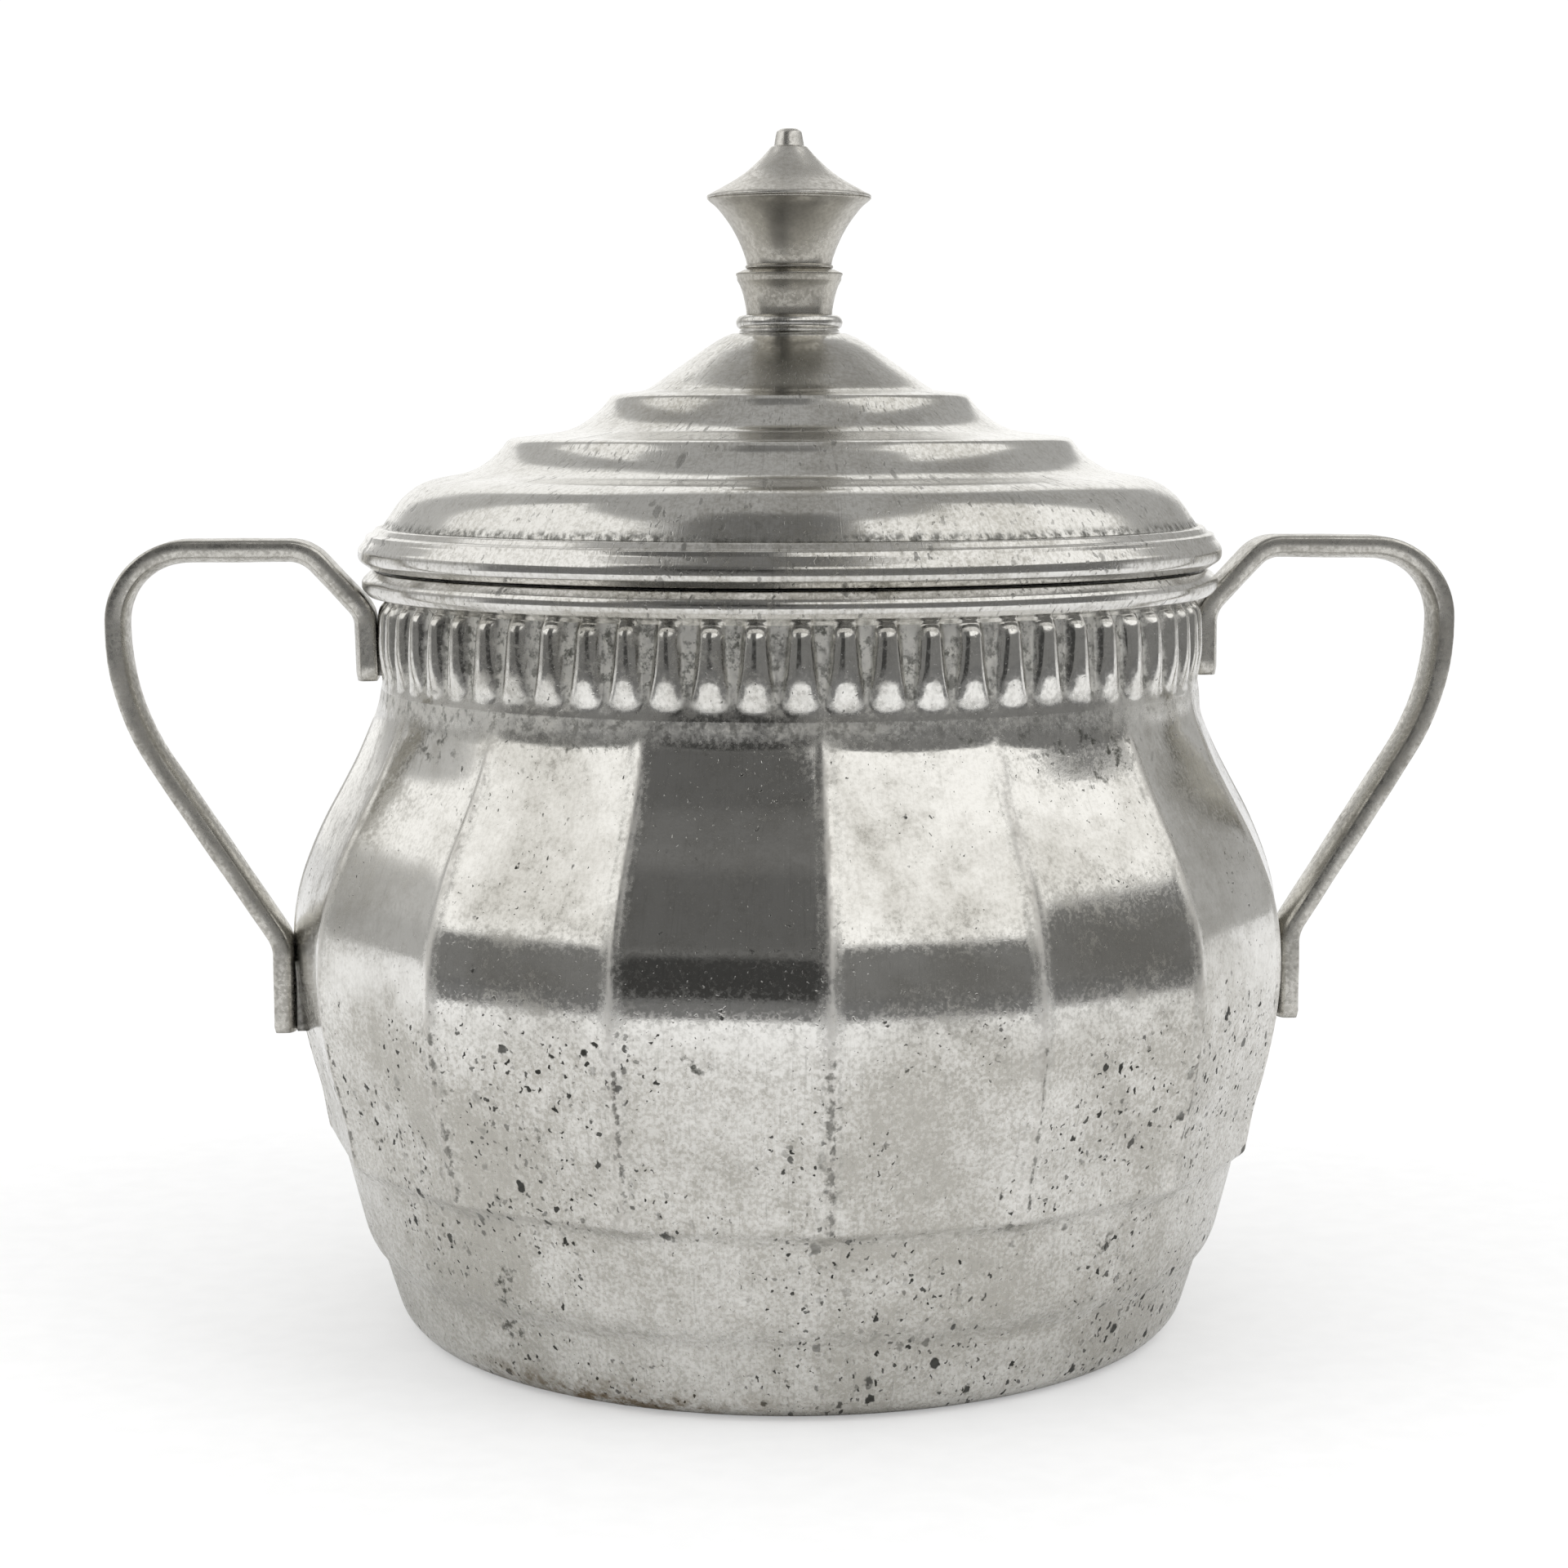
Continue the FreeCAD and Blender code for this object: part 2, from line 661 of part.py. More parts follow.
def finial_nut():
    """The hexagon nut inside the lid."""
    top = size["crown_height"] - size["wall"] - size["washer_thickness"]
    foot = top - size["nut_thickness"]
    hexagon = doc.addObject("Part::Prism", "nut_hexagon")
    hexagon.Polygon = 6
    hexagon.setExpression("Circumradius", (size["nut_flats"] / math.sqrt(3)).text)
    hexagon.setExpression("Height", size["nut_thickness"].text)
    hexagon.setExpression("Placement.Base.z", foot.text)
    bore = doc.addObject("Part::Cylinder", "nut_bore")
    bore.setExpression("Radius", size["stud_radius"].text)
    bore.setExpression("Height", (size["nut_thickness"] + 2).text)
    bore.setExpression("Placement.Base.z", (foot - 1).text)
    return boolean("Cut", "finial_nut", (hexagon, bore))


# ---------------------------------------------------------------- assembly

def build():
    """Make every piece and return those that are nodes."""
    outside = bowl_outside()
    nodes = [
        boolean("Cut", "bowl_body", (outside, bowl_inside())),
        base_disc(),
        body_rim_moulding(),
    ]
    for name, side in (("left_handle", -1), ("right_handle", 1)):
        strip = handle_strip(f"{name}_strip", side)
        nodes.append(boolean("Cut", name, (strip, outside)))
        nodes.append(handle_solder(f"{name}_solder", side, strip, outside))
    nodes += [
        lid_shell(), lid_rim_moulding(), lid_bezel(),
        finial_collar(), finial_spool(), finial_cup(), finial_cap(),
        finial_stud(), finial_washer(), finial_nut(),
    ]
    doc.recompute()
    return nodes


def check(nodes):
    """Stop if any object failed or any node isn't a sound solid."""
    for item in doc.Objects:
        if "Invalid" in item.State or "Error" in item.State:
            raise RuntimeError(f"{item.Label} failed: {item.State}")
    for node in nodes:
        shape = node.Shape
        if shape.isNull() or not shape.isValid() or not shape.Solids:
            raise RuntimeError(f"{node.Label} has no valid solid")
        print(f"{node.Label}: {len(shape.Solids)} solid(s), {shape.Volume:.1f} mm3")


def write(nodes):
    os.makedirs("parts", exist_ok=True)
    for node in nodes:
        node.Shape.exportStep(f"parts/{node.Label}.step")


pieces = build()
check(pieces)
write(pieces)
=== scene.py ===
"""Looks of the covered sugar bowl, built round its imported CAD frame.

Outlines are in millimetres, as (radius, height) on the bowl's axis; meshes are in metres.
"""

import math

import bpy
import numpy as np
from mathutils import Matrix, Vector


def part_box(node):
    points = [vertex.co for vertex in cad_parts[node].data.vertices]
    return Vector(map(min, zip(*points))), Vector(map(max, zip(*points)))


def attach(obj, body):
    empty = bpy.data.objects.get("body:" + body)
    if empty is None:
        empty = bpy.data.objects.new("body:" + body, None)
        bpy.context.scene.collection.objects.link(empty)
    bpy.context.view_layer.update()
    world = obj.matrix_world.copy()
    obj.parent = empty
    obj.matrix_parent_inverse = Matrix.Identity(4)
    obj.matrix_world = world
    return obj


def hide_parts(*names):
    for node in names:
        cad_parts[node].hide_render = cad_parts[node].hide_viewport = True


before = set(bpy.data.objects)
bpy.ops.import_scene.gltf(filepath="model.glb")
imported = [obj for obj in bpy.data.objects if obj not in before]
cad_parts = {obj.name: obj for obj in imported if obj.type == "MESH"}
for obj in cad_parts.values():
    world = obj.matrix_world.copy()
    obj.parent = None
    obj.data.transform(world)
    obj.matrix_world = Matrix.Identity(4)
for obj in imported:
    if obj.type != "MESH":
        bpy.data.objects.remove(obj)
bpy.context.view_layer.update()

MM = 0.001
PANELS = 16
LOBES_PER_PANEL = 4
PANEL_TURN = math.tau / PANELS
LOBE_TURN = PANEL_TURN / LOBES_PER_PANEL
WALL = 1.0


def place_of(node):
    """Outer radius, lowest and highest point of a round CAD node, in millimetres."""
    low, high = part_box(node)
    return high.x / MM, low.z / MM, high.z / MM


# ------------------------------------------------------------------ camera, light, floor

CAMERA_REACH = 0.354
CAMERA_HEIGHT = 0.1023
CAMERA_TURN = math.radians(-4.0)
CAMERA_DIP = math.radians(6.9)
CAMERA_ROLL = math.radians(0.1)
CAMERA_ASIDE = -0.0006
CAMERA_LENS = 73.1
TABLE_REACH = 0.36
TABLE_HALF = 3.0
TABLE_GAP = 0.0002
PAPER_GREYS = (0.88, 0.91)
GREY_IN_GLOSS = 0.88
GREY_PAST_EDGE = 0.18


def make_camera():
    """The camera stands a little to the left of the front and looks slightly down."""
    data = bpy.data.cameras.new("camera")
    data.lens = CAMERA_LENS
    data.sensor_width = 36.0
    data.clip_start = 0.01
    camera = bpy.data.objects.new("camera", data)
    ahead = Vector((-math.sin(CAMERA_TURN), math.cos(CAMERA_TURN), 0))
    aside = Vector((math.cos(CAMERA_TURN), math.sin(CAMERA_TURN), 0))
    camera.location = ahead * -CAMERA_REACH + aside * CAMERA_ASIDE + Vector((0, 0, CAMERA_HEIGHT))
    camera.rotation_euler = (math.pi / 2 - CAMERA_DIP, CAMERA_ROLL, CAMERA_TURN)
    bpy.context.scene.collection.objects.link(camera)
    bpy.context.scene.camera = camera


class Nodes:
    """A short way to write a node tree."""

    def __init__(self, tree):
        self.tree = tree
        tree.nodes.clear()

    def add(self, kind, **settings):
        node = self.tree.nodes.new(kind)
        for name, value in settings.items():
            setattr(node, name, value)
        return node

    def link(self, source, target):
        self.tree.links.new(source, target)

    def feed(self, socket, value):
        """Set a socket to a number, or link it to another socket."""
        if isinstance(value, bpy.types.NodeSocket):
            self.link(value, socket)
        else:
            socket.default_value = value

    def math(self, operation, first, second=0.0, clamp=False):
        node = self.add("ShaderNodeMath", operation=operation, use_clamp=clamp)
        self.feed(node.inputs[0], first)
        self.feed(node.inputs[1], second)
        return node.outputs[0]

    def times(self, first, second):
        return self.math("MULTIPLY", first, second)

    def plus(self, first, second):
        return self.math("ADD", first, second)

    def smooth(self, value, low, high, to_low=0.0, to_high=1.0):
        """Ease from to_low to to_high as the value goes from low to high."""
        node = self.add("ShaderNodeMapRange", interpolation_type="SMOOTHSTEP")
        for name, number in (("Value", value), ("From Min", low), ("From Max", high),
                             ("To Min", to_low), ("To Max", to_high)):
            self.feed(node.inputs[name], number)
        return node.outputs["Result"]

    def mix(self, share, first, second):
        """A colour between two, by share."""
        node = self.add("ShaderNodeMix", data_type="RGBA")
        self.feed(node.inputs["Factor"], share)
        self.feed(node.inputs["A"], first)
        self.feed(node.inputs["B"], second)
        return node.outputs["Result"]

    def noise(self, place, scale, detail=4.0, roughness=0.55, distortion=0.0):
        node = self.add("ShaderNodeTexNoise")
        self.link(place, node.inputs["Vector"])
        node.inputs["Scale"].default_value = scale
        node.inputs["Detail"].default_value = detail
        node.inputs["Roughness"].default_value = roughness
        node.inputs["Distortion"].default_value = distortion
        return node.outputs["Fac"]

    def cells(self, place, scale):
        node = self.add("ShaderNodeTexVoronoi", feature="F1", voronoi_dimensions="2D")
        self.link(place, node.inputs["Vector"])
        node.inputs["Scale"].default_value = scale
        return node


# Parts of the studio round the bowl, each painted over the ones before it. Angles are in
# degrees: azimuth 0 is the front and grows towards +X, elevation 0 is the horizon.
STUDIO = (
    # name, azimuth low and high, elevation low and high, blur across and up, brightness
    ("ceiling", -400, 400, 50, 200, 1, 9, 0.42),
    ("right_wall", 100, 400, -200, 50, 8, 9, 0.46),
    ("left_wall", -400, -94, -200, 50, 8, 9, 0.54),
    ("left_skirting", -140, -90, -12, 9, 6, 3, 0.46),
    ("right_skirting", 92, 132, -12, 8, 6, 3, 0.46),
    ("backdrop_right", 157.5, 400, -200, 50, 2.5, 6, 1.10),
    ("backdrop_left", -400, -157.5, -200, 50, 2.5, 6, 1.10),
    ("right_softbox", -4, 120, 23, 66, 1.5, 1.6, 1.12),
    ("left_softbox", -132, -56, 17.5, 58, 2, 1.8, 1.08),
    ("front_gap", -49, -5, 20, 76, 2, 4, 0.125),
    ("front_valance", -52, 27, 46, 78, 4, 4, 0.19),
    ("doorway", -36, -3, -12, 18, 3, 2, 0.05),
)
DARK_ROOM = 0.20
WARM_WHITE = (1.0, 0.993, 0.972, 1)
BACKDROP_STRENGTH = 1.05


def make_world():
    """A dim room with softboxes, seen in reflections; plain white behind the bowl."""
    world = bpy.data.worlds.new("studio")
    world.use_nodes = True
    n = Nodes(world.node_tree)
    way = n.add("ShaderNodeTexCoord").outputs["Generated"]
    split = n.add("ShaderNodeSeparateXYZ")
    n.link(way, split.inputs[0])
    x, y, z = split.outputs
    to_degrees = 180 / math.pi
    elevation = n.times(n.math("ARCSINE", z), to_degrees)
    azimuth = n.times(n.math("ARCTAN2", x, n.times(y, -1.0)), to_degrees)
    light = DARK_ROOM
    for _, left, right, low, high, across, up, level in STUDIO:
        wide = n.times(n.smooth(azimuth, left - across, left + across),
                       n.smooth(azimuth, right - across, right + across, 1.0, 0.0))
        tall = n.times(n.smooth(elevation, low - up, low + up),
                       n.smooth(elevation, high - up, high + up, 1.0, 0.0))
        inside = n.times(wide, tall)
        light = n.plus(light, n.times(inside, n.math("SUBTRACT", level, light)))
    seen = n.add("ShaderNodeBackground")
    n.link(light, seen.inputs["Strength"])
    seen.inputs["Color"].default_value = WARM_WHITE
    plain = n.add("ShaderNodeBackground")
    plain.inputs["Color"].default_value = (1, 1, 1, 1)
    plain.inputs["Strength"].default_value = BACKDROP_STRENGTH
    path = n.add("ShaderNodeLightPath")
    shown = n.math("ADD", path.outputs["Is Camera Ray"], path.outputs["Is Diffuse Ray"], clamp=True)
    choice = n.add("ShaderNodeMixShader")
    n.link(shown, choice.inputs[0])
    n.link(seen.outputs[0], choice.inputs[1])
    n.link(plain.outputs[0], choice.inputs[2])
    n.link(choice.outputs[0], n.add("ShaderNodeOutputWorld").inputs["Surface"])
    bpy.context.scene.world = world


# Name, place in metres and watts.
LIGHTS = (("key_light", (0.7, -0.5, 0.9), 3.0), ("fill_light", (-0.8, -0.3, 0.8), 2.0))
LIGHT_SIZE = 0.6
LIT_POINT = Vector((0, 0, 0.05))


def make_lights():
    """Two large soft lights that shade the floor and the dull metal."""
    for name, place, power in LIGHTS:
        data = bpy.data.lights.new(name, "AREA")
        data.size = LIGHT_SIZE
        data.energy = power
        lamp = bpy.data.objects.new(name, data)
        lamp.location = place
        lamp.rotation_euler = (LIT_POINT - Vector(place)).to_track_quat("-Z", "Y").to_euler()
        lamp.visible_glossy = False
        bpy.context.scene.collection.objects.link(lamp)


def make_floor():
    """A pale table that fades into the white background; its front edge shows in the metal."""
    material = bpy.data.materials.new("table_white")
    material.use_nodes = True
    n = Nodes(material.node_tree)
    place = n.add("ShaderNodeTexCoord").outputs["Object"]
    split = n.add("ShaderNodeSeparateXYZ")
    n.link(place, split.inputs[0])
    far = n.add("ShaderNodeVectorMath", operation="LENGTH")
    n.link(place, far.inputs[0])
    distance = far.outputs["Value"]
    paper = n.noise(place, 240.0, 5.0)
    shade = n.smooth(paper, 0.3, 0.7, *PAPER_GREYS)
    edge = n.times(n.smooth(distance, TABLE_REACH - 0.003, TABLE_REACH + 0.005),
                   n.smooth(split.outputs["Y"], -0.08, 0.10, 1.0, 0.0))
    path = n.add("ShaderNodeLightPath")
    in_gloss = n.times(path.outputs["Is Glossy Ray"], edge)
    grey = n.times(shade, n.smooth(in_gloss, 0.0, 1.0, 1.0, GREY_PAST_EDGE))
    grey = n.times(grey, n.smooth(path.outputs["Is Glossy Ray"], 0.0, 1.0, 1.0, GREY_IN_GLOSS))
    colour = n.add("ShaderNodeCombineColor")
    for socket in colour.inputs[:3]:
        n.link(grey, socket)
    surface = n.add("ShaderNodeBsdfPrincipled")
    n.link(colour.outputs[0], surface.inputs["Base Color"])
    surface.inputs["Roughness"].default_value = 0.9
    surface.inputs["Specular IOR Level"].default_value = 0.1
    white = n.add("ShaderNodeEmission")
    white.inputs["Strength"].default_value = 1.02
    away = n.times(path.outputs["Is Camera Ray"], n.smooth(distance, 0.08, 0.42, 0.35, 1.0))
    blend = n.add("ShaderNodeMixShader")
    n.link(away, blend.inputs[0])
    n.link(surface.outputs[0], blend.inputs[1])
    n.link(white.outputs[0], blend.inputs[2])
    n.link(blend.outputs[0], n.add("ShaderNodeOutputMaterial").inputs["Surface"])
    mesh = bpy.data.meshes.new("table")
    half = TABLE_HALF
    square = [(-half, -half, 0), (half, -half, 0), (half, half, 0), (-half, half, 0)]
    mesh.from_pydata(square, [], [(0, 1, 2, 3)])
    floor = bpy.data.objects.new("table", mesh)
    floor.location.z = -TABLE_GAP
    mesh.materials.append(material)
    bpy.context.scene.collection.objects.link(floor)


# ------------------------------------------------------------------ outlines and meshes

WORN_EDGE = 0.12
NEARLY_STRAIGHT = 0.02
ON_AXIS = 1e-6
# Columns of vertices round the turned pieces.
BEAD_COLUMNS, LID_COLUMNS, FINIAL_COLUMNS, CUP_COLUMNS = 256, 224, 96, 112


def round_corners(points, step=7.0):
    """A dense outline from corners (radius, height, rounding), open at both ends."""
    places = [np.array(point[:2], float) for point in points]
    dense = [places[0]]
    for index in range(1, len(points) - 1):
        corner = places[index]
        back = places[index - 1] - corner
        ahead = places[index + 1] - corner
        back_length, ahead_length = np.linalg.norm(back), np.linalg.norm(ahead)
        back, ahead = back / back_length, ahead / ahead_length
        opening = math.acos(np.clip(back @ ahead, -1, 1))
        rounding = points[index][2] if len(points[index]) == 3 else WORN_EDGE
        reach = min(rounding / math.tan(opening / 2), back_length * 0.49, ahead_length * 0.49)
        rounding = reach * math.tan(opening / 2)
        turn = math.pi - opening
        if turn < NEARLY_STRAIGHT:
            dense.append(corner)
            continue
        middle = back + ahead
        centre = corner + middle / np.linalg.norm(middle) * rounding / math.sin(opening / 2)
        start = corner + back * reach - centre
        end = corner + ahead * reach - centre
        count = max(2, math.ceil(math.degrees(turn) / step))
        for part in range(count + 1):
            share = part / count
            weights = math.sin((1 - share) * turn), math.sin(share * turn)
            dense.append(centre + (start * weights[0] + end * weights[1]) / math.sin(turn))
    dense.append(places[-1])
    return np.array(dense)


def through(points, pieces=8):
    """A smooth line through points, each bend eased by its neighbours."""
    points = np.array(points, float)
    ends = np.vstack([2 * points[0] - points[1], points, 2 * points[-1] - points[-2]])
    line = []
    for a, b, c, d in zip(ends, ends[1:], ends[2:], ends[3:]):
        gaps = [max(np.linalg.norm(q - p) ** 0.5, 1e-6) for p, q in ((a, b), (b, c), (c, d))]
        slope_b = ((b - a) / gaps[0] - (c - a) / (gaps[0] + gaps[1]) + (c - b) / gaps[1]) * gaps[1]
        slope_c = ((c - b) / gaps[1] - (d - b) / (gaps[1] + gaps[2]) + (d - c) / gaps[2]) * gaps[1]
        for t in np.arange(pieces) / pieces:
            line.append(b * (2 * t ** 3 - 3 * t ** 2 + 1) + slope_b * (t ** 3 - 2 * t ** 2 + t)
                        + c * (3 * t ** 2 - 2 * t ** 3) + slope_c * (t ** 3 - t ** 2))
    line.append(points[-1])
    return np.array(line)


def ease(value, low, high):
    """0 below low, 1 above high and smooth between."""
    share = np.clip((value - low) / (high - low), 0, 1)
    return share * share * (3 - 2 * share)


def hill(value, middle, width):
    """1 at the middle, falling away smoothly on both sides."""
    return np.exp(-((value - middle) / width) ** 2)


def wander(turn, height, seed):
    """A gentle uneven wave over the round surface, about -1 to 1."""
    waves = np.random.default_rng(seed)
    total = np.zeros(np.broadcast(turn, height).shape)
    for number in range(7):
        around = waves.integers(1, 9)
        along = waves.uniform(0.03, 0.22)
        phase = waves.uniform(0, math.tau, 2)
        wave = np.sin(turn * around + phase[0]) * np.cos(height * along + phase[1])
        total = total + wave / (1 + number * 0.4)
    return total / 3.0


def make_object(name, vertices, faces, material, values=None):
    """A smooth mesh object in metres from millimetre vertices, with surface values."""
    mesh = bpy.data.meshes.new(name)
    mesh.from_pydata((np.asarray(vertices) * MM).tolist(), [], faces)
    mesh.materials.append(material)
    mesh.shade_smooth()
    for label, numbers in (values or {}).items():
        attribute = mesh.attributes.new(label, "FLOAT", "POINT")
        attribute.data.foreach_set("value", np.asarray(numbers, np.float32))
    mesh.validate()
    item = bpy.data.objects.new(name, mesh)
    bpy.context.scene.collection.objects.link(item)
    return item


def ring_faces(rings):
    """Faces between rings of vertices, and from the last back to the first.

    A ring is (first index, turns of its columns), and a finer ring may follow a coarser one.
    """
    faces = []
    for (low_start, low_turns), (high_start, high_turns) in zip(rings, rings[1:] + rings[:1]):
        if len(low_turns) == len(high_turns):
            count = len(low_turns)
            for column in range(count):
                after = (column + 1) % count
                faces.append((low_start + column, low_start + after,
                              high_start + after, high_start + column))
            continue
        fine_is_high = len(high_turns) > len(low_turns)
        coarse_start, coarse = (low_start, low_turns) if fine_is_high else (high_start, high_turns)
        fine_start, fine = (high_start, high_turns) if fine_is_high else (low_start, low_turns)
        match = [int(np.argmin(np.abs(fine - turn))) for turn in coarse]
        for column in range(len(coarse)):
            after = (column + 1) % len(coarse)
            last = match[after] if after else len(fine)
            run = [fine_start + index % len(fine) for index in range(match[column], last + 1)]
            face = [coarse_start + column, coarse_start + after] + run[::-1]
            faces.append(tuple(face if fine_is_high else face[::-1]))
    return faces


def turned(name, outline, material, columns, unevenness, seed):
    """A turned piece from a dense outline that closes on itself."""
    turns = np.arange(columns) / columns * math.tau
    vertices, rings = [], []
    for radius, height in outline:
        uneven = wander(turns, height, seed) * unevenness * min(1.0, radius / 20)
        reach = np.maximum(radius + uneven, 0)
        lift = wander(turns, radius, seed + 50) * unevenness * 0.5
        on_axis = radius < ON_AXIS
        rings.append((len(vertices), on_axis))
        if on_axis:
            vertices.append((0, 0, height))
        else:
            vertices += zip(reach * np.cos(turns), reach * np.sin(turns), height + lift)
    faces = []
    for (low, low_is_point), (high, high_is_point) in zip(rings, rings[1:] + rings[:1]):
        if low_is_point and high_is_point:
            continue
        for column in range(columns):
            after = (column + 1) % columns
            if low_is_point:
                faces.append((low, high + after, high + column))
            elif high_is_point:
                faces.append((low + column, low + after, high))
            else:
                faces.append((low + column, low + after, high + after, high + column))
    return make_object(name, np.array(vertices), faces, material)


def stand_for(piece, node, body):
    """The piece replaces a CAD node and rides on its body."""
    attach(piece, body)
    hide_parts(node)


# ------------------------------------------------------------------ metal

CLEAN = (0.82, 0.81, 0.78, 1)
DULL = (0.49, 0.475, 0.435, 1)
DIRT = (0.20, 0.195, 0.17, 1)
SCRATCH = (0.33, 0.325, 0.30, 1)
SEAM_GRIME = (0.08, 0.08, 0.07, 1)
# Painted light: a paler colour for surfaces that face down.
UNDERSIDE_LIGHT_PAINT = (0.66, 0.645, 0.61, 1)
PIT = (0.03, 0.031, 0.027, 1)
# Dark patina, also used for the painted shade lines beside the ridges.
PATINA_AND_SHADE = (0.045, 0.047, 0.036, 1)
PALE_FILM = (0.86, 0.85, 0.81, 1)
DARK_FILM = (0.20, 0.20, 0.18, 1)
# Rubbed metal, also used as a painted highlight along the ridges.
RUBBED_AND_HIGHLIGHT = (0.80, 0.78, 0.74, 1)
CRUST = (0.20, 0.15, 0.09, 1)
LID_CLEAN = (0.76, 0.752, 0.725, 1)
BEAD_CLEAN = (0.78, 0.77, 0.745, 1)
STRIP_CLEAN, STRIP_DULL = (0.64, 0.625, 0.585, 1), (0.38, 0.365, 0.33, 1)
FINIAL_CLEAN, FINIAL_DULL = (0.56, 0.54, 0.49, 1), (0.36, 0.34, 0.30, 1)
CAP_CLEAN, CAP_DULL = (0.74, 0.725, 0.69, 1), (0.50, 0.48, 0.44, 1)
SOLDER_CLEAN, SOLDER_DULL = (0.42, 0.41, 0.39, 1), (0.22, 0.22, 0.20, 1)
BRASS_CLEAN, BRASS_DULL = (0.72, 0.60, 0.36, 1), (0.40, 0.32, 0.18, 1)
ROUGHEST = 0.85
LID_SEAM = 88.7
UNROLLED_RADIUS = 0.05
PIT_LAYERS = (
    # cells per metre, radius of a pit as a share of its cell, chance above which a cell has one
    (150.0, 0.125, 0.62), (330.0, 0.185, 0.54), (680.0, 0.25, 0.44), (1500.0, 0.32, 0.38),
)


class Metal(Nodes):
    """Worn silver plate: one clean colour under layers of tarnish, scratches, pits and dirt, with
    painted light and shade in places.
    """

    def __init__(self, tree, pits_top):
        super().__init__(tree)
        self.place = self.add("ShaderNodeTexCoord").outputs["Object"]
        split = self.add("ShaderNodeSeparateXYZ")
        self.link(self.place, split.inputs[0])
        x, y, z = split.outputs
        self.height = self.times(z, 1000.0)
        self.lower = self.smooth(self.height, pits_top - 5, pits_top + 4, 1.0, 0.0)
        # The wall unrolled: arc length across, height up.
        unrolled = self.add("ShaderNodeCombineXYZ")
        around = self.math("ARCTAN2", x, self.times(y, -1.0))
        self.link(self.times(around, UNROLLED_RADIUS), unrolled.inputs[0])
        self.link(z, unrolled.inputs[1])
        self.wall = unrolled.outputs[0]
        self.cloud = self.noise(self.place, 48.0, 7.0, 0.62, 0.5)
        self.mottle = self.noise(self.place, 380.0, 6.0, 0.68)
        self.speck = self.noise(self.place, 2300.0, 3.0, 0.6)

    def zoned(self, above, below):
        """One number above the pitted zone and another inside it."""
        return self.smooth(self.lower, 0.0, 1.0, above, below)

    def coat(self, share, colour, rougher=0.0, cover=1.0):
        """Cover a share of the metal with a colour, and roughen it there."""
        hidden = share if cover == 1.0 else self.times(share, cover)
        self.colour = self.mix(hidden, self.colour, colour)
        if rougher:
            self.roughness = self.plus(self.roughness, self.times(share, rougher))

    def tarnish(self, clean, dull, smoothness, wear, haze):
        """Clouds and specks of tarnish over the clean metal, with hazy patches."""
        amount = self.plus(self.times(self.smooth(self.cloud, 0.40, 0.66), 0.75),
                           self.times(self.smooth(self.mottle, 0.40, 0.70), 0.35))
        fine = self.times(self.smooth(self.speck, 0.36, 0.66, -0.30, 0.36), self.zoned(0.35, 1.0))
        amount = self.times(self.plus(amount, fine), self.zoned(0.85, 0.8))
        amount = self.math("ADD", amount, self.times(self.lower, wear), clamp=True)
        self.colour = self.mix(amount, clean, dull)
        roughness = self.plus(smoothness, self.times(amount, 0.10))
        roughness = self.plus(roughness, self.smooth(self.speck, 0.46, 0.60, 0.0, 0.24 * haze))
        patches = self.times(self.smooth(self.mottle, 0.46, 0.70),
                             self.smooth(self.cloud, 0.44, 0.60, 0.25, 1.0))
        roughness = self.plus(roughness, self.times(patches, 0.34 * haze))
        self.roughness = self.plus(roughness, self.times(self.lower, 0.06))

    def dirt(self, amount):
        """Fine dark grain, in patches."""
        grain = self.smooth(self.noise(self.place, 1500.0, 5.0, 0.75), 0.52, 0.68, 0.0, amount)
        grain = self.times(grain, self.smooth(self.mottle, 0.40, 0.60, 0.1, 1.0))
        self.coat(self.times(grain, self.zoned(0.5, 1.0)), DIRT)

    def strokes(self, tilt, fineness, length):
        """Noise drawn out into strokes that lean by some degrees."""
        leaning = self.add("ShaderNodeMapping")
        self.link(self.wall, leaning.inputs["Vector"])
        leaning.inputs["Rotation"].default_value = (0, 0, math.radians(tilt))
        leaning.inputs["Scale"].default_value = (fineness, length, 1)
        return self.noise(leaning.outputs[0], 1.0, 2.0, 0.5)

    def scratches(self):
        """Fine polishing lines up and down, and short crossing strokes."""
        upright = self.strokes(4.0, 3600.0, 130.0)
        crossing = self.math("MAXIMUM", self.strokes(33.0, 3000.0, 420.0),
                             self.strokes(-41.0, 3000.0, 420.0))
        lines = self.plus(self.smooth(upright, 0.56, 0.76, 0.0, 0.6),
                          self.smooth(crossing, 0.62, 0.80, 0.0, 0.8))
        lines = self.times(lines, self.zoned(0.45, 1.0))
        self.coat(lines, SCRATCH, cover=0.55)
        self.relief = self.plus(self.times(lines, 0.12), self.times(self.speck, 0.10))
        self.relief = self.plus(self.relief, self.times(self.mottle, 0.25))

    def seam(self, height):
        """Ragged grime in the corner that runs round at one height, in millimetres."""
        away = self.math("ABSOLUTE", self.math("SUBTRACT", self.height, height))
        ragged = self.smooth(self.noise(self.wall, 900.0, 4.0, 0.65), 0.38, 0.62)
        self.coat(self.times(self.smooth(away, 0.1, 0.9, 1.0, 0.0), ragged), SEAM_GRIME, 0.3, 0.75)

    def underside_light(self, amount):
        """Paler, duller metal where the surface faces down: the paler colour is painted light on
        the undersides.
        """
        facing = self.add("ShaderNodeSeparateXYZ")
        self.link(self.add("ShaderNodeNewGeometry").outputs["Normal"], facing.inputs[0])
        self.coat(self.smooth(facing.outputs["Z"], -0.7, -0.15, amount, 0.0), UNDERSIDE_LIGHT_PAINT, 0.3)

